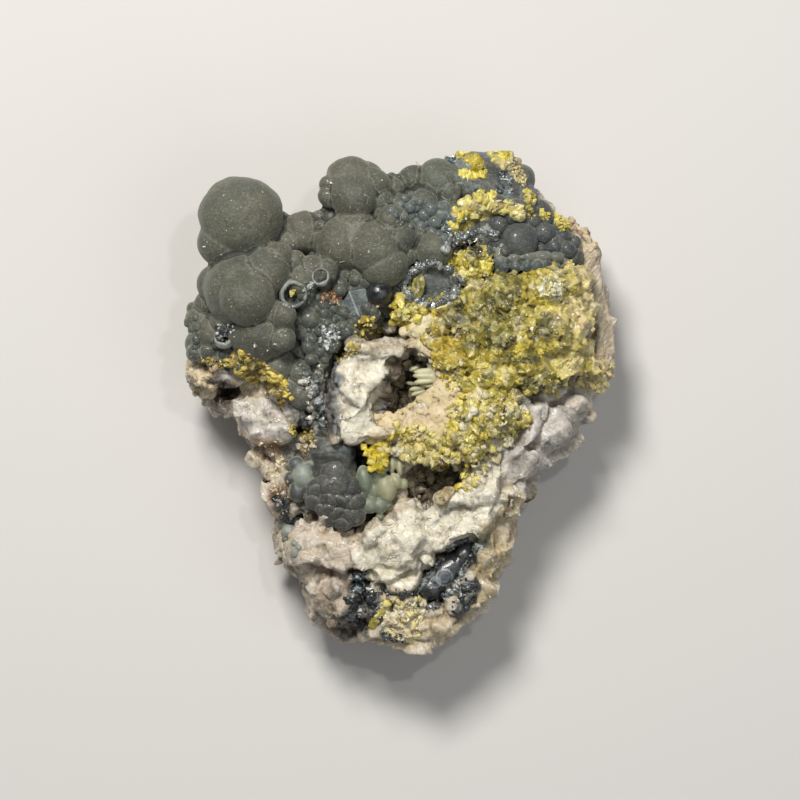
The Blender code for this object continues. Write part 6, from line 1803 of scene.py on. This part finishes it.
def thin_crusts(draw):
    """Thin fused crusts: name, finish, slot, lumps, seed, spacing, colours, roughness, rise, flat faces."""
    return [
        ("cream_lumps", "chalk", "quartz",
         lumps_over([(-30, 5), (-25.6, 5), (-25.4, 1.2), (-28.6, 1.0)], 46, (0.5, 1.2), 75)
         + lumps_over([(23.6, 25.4), (25.2, 25.2), (27.2, 21.6), (26.6, 20.6), (24.8, 22.6)], 40,
                      (0.5, 1.1), 103),
         76, 0.15, [tone(204, 188, 156), tone(212, 200, 172), tone(222, 212, 188), tone(184, 164, 134)],
         0.30, (-0.4, 0.1), 0.3),
        ("black_glassy_crust", "glass", "black_lens",
         lumps_over(BLACK_PATCH, 60, (0.9, 2.0), 77)
         + lumps_along([(-2.6, -26.4), (0.6, -26.6), (2.8, -26.4)], 0.3, 0.1, (0.35, 0.55), draw)
         + lumps_over([(8.9, -25.1), (10.2, -25.5), (10.1, -27.5), (7.8, -29.8), (7.6, -28.4)], 40,
                      (0.7, 1.5), 78)
         + lumps_over([(-17.4, -13.4), (-15.8, -13.8), (-15.0, -16.6), (-16.4, -17.0)], 30, (0.7, 1.6), 79),
         80, 0.15, [tone(30, 32, 34), tone(52, 56, 60), tone(70, 76, 80)], 0.30, (-0.85, -0.55), 0.35),
        ("tan_lump", "pale", "vug_crystal",
         [(6.2, -13.0, 1.0), (5.6, -13.3, 0.8), (6.8, -12.7, 0.8), (6.3, -12.4, 0.7)],
         83, 0.12, [tone(160, 144, 108), tone(134, 118, 86)], 0.3, (-0.3, 0.0), 0.45),
        ("glassy_rims", "rim", "black_lens",
         lumps_along(RING, 0.26, 0.14, (0.28, 0.6), draw)
         + lumps_along(SECOND_RIM, 0.28, 0.2, (0.28, 0.6), draw)
         + lumps_along(LENS_LEFT, 0.4, 0.12, (0.25, 0.5), draw)
         + lumps_along(LENS_RIGHT, 0.4, 0.15, (0.25, 0.55), draw)
         + lumps_along(COLUMN, 0.45, 0.25, (0.35, 0.7), draw),
         81, 0.11, [tone(122, 128, 126), tone(66, 72, 72), tone(160, 166, 162), tone(92, 98, 98)],
         0.26, (-0.3, 0.2), 0.3),
        ("silver_column", "rim", "plumbogummite",
         lumps_along([(-12.9, 3.2), (-12.4, 0.6), (-12.1, -2.8)], 0.12, 0.16, (0.2, 0.45), draw)
         + lumps_along([(-11.4, 4.8), (-10.9, 3.0), (-10.8, 1.4)], 0.14, 0.22, (0.2, 0.45), draw),
         105, 0.11, [tone(196, 192, 178), tone(110, 114, 112), tone(204, 194, 172)], 0.40, (-0.6, 0.0), 0.8),
        ("yellow_corner_crust", "yellow", "pyromorphite",
         lumps_over(RIDGE_PATCH, 120, (0.6, 1.3), 84) + lumps_over(CORNER_PATCH, 50, (0.6, 1.2), 85)
         + lumps_over(SECOND_PATCH, 46, (0.6, 1.2), 86) + lumps_over(CHUNK, 40, (0.7, 1.3), 87),
         88, 0.13, YELLOWS + [YELLOWS[2], PALE_YELLOW, PINK_CREAM], 0.12, (-0.86, -0.62), 0.45),
        ("ochre_strip", "yellow", "pyromorphite", lumps_over(LEFT_STRIP, 100, (0.5, 1.1), 89),
         90, 0.12, OCHRES, 0.16, (-0.84, -0.58), 0.5),
        ("pale_yellow_crust", "yellow", "pyromorphite",
         lumps_over(SCATTERED, 170, (0.4, 0.9), 98) + lumps_over(BELOW, 110, (0.35, 0.7), 99),
         97, 0.125, CREAMS[:3] + [PALE_YELLOW] * 2 + YELLOWS[1:], 0.20, (-0.8, -0.5), 0.6),
        ("porous_cream_crust", "pale", "quartz", lumps_over(POROUS_PATCH, 90, (0.4, 0.9), 101),
         102, 0.13, CREAMS[:3] + [PALE_YELLOW], 0.40, (-0.7, -0.3), 0.4),
        ("edge_balls", "pale", "pale_plumbogummite",
         [(-15.4, -18.2, 1.2), (-14.5, -21.0, 0.7), (-15.0, -16.6, 1.0), (-14.6, -19.6, 0.6),
          (-16.2, -17.0, 0.8), (-14.0, -20.2, 0.5), (-15.9, -19.2, 0.6)],
         104, 0.12, [tone(132, 136, 126), tone(84, 88, 84)], 0.16, (-0.5, -0.1), 0.0),
    ]


def grow_small_crystals(ground, finish, draw):
    """Small crystals and grains in patches on the crusts and the rock."""
    chips = [chip(1.0, 1.1, 0.0, 51), chip(1.1, 0.7, 0.1, 52), chip(0.8, 1.3, 0.05, 53),
             point_crystal(0.7, 0.9, 0.35)]
    blades = [point_crystal(0.35, 1.2, 0.3), point_crystal(0.25, 1.6, 0.3)]
    for name, look, slot, patches, forms, seed, spread in (
            ("yellow_patches", "yellow", "pyromorphite", YELLOW_PATCHES, chips, 72, 0.6),
            ("glassy_crystals", "rim", "black_lens", GLASSY_PATCHES, chips, 73, 0.6),
            ("cream_grains", "pale", "quartz", STONE_PATCHES, chips, 74, 0.6),
            ("pale_blades", "rim", "plumbogummite", BLADE_PATCHES, blades, 69, 1.6)):
        dress(sprinkle(name, ground, patches, forms, seed, spread, draw), finish[look], slot)
    drop(chips + blades)


def main():
    """Model every piece, finish it and place it in the studio."""
    finish = {name: make() for name, make in FINISHES.items()}
    rock, cream, crust = make_rock(), make_cream_crust(), make_grey_crust()
    bed, grains = make_yellow_crust()
    lower, lens = make_lower_crust(), make_lens()
    dress(rock, finish["stone"], "quartz", "quartz_matrix")
    dress(cream, finish["chalk"], "quartz")
    dress(crust, finish["grey"], "plumbogummite", "plumbogummite_crust")
    dress(bed, finish["yellow"], "pyromorphite", "yellow_crust")
    dress(grains, finish["yellow"], "pyromorphite")
    dress(make_nugget(), finish["yellow"], "pyromorphite", "yellow_nugget")
    dress(lower, finish["pale"], "pale_plumbogummite", "lower_crust")
    dress(lens, finish["glass"], "black_lens", "black_lens")
    for node, name, count, seed in (("upper_vug_crystals", "upper_vug_cup", 520, 801),
                                    ("lower_vug_crystals", "lower_vug_cup", 420, 811)):
        cup, points = make_vug_lining(node, name, count, seed)
        dress(cup, finish["crystal"], "vug_crystal", node)
        dress(points, finish["crystal"], "vug_crystal")
    dress(make_fingers(), finish["pale"], "pale_plumbogummite")

    ground = Ground([rock, cream, crust, bed, lower, lens])
    draw = random.Random(71)
    grow_small_crystals(ground, finish, draw)
    for name, look, slot, *settings in thin_crusts(draw):
        dress(heap(name, ground, *settings), finish[look], slot)
    dress(make_sliver(ground), finish["yellow"], "pyromorphite")
    dress(make_leaf(), finish["yellow"], "pyromorphite")
    for make in (make_broken_balls, make_slab, make_shells):
        dress(make(ground), finish["grey"], "plumbogummite")
    dress(make_black_ball(), finish["glass"], "black_lens")
    dress(make_dust(crust), finish["grey"], "plumbogummite")
    set_camera()
    set_studio()


main()
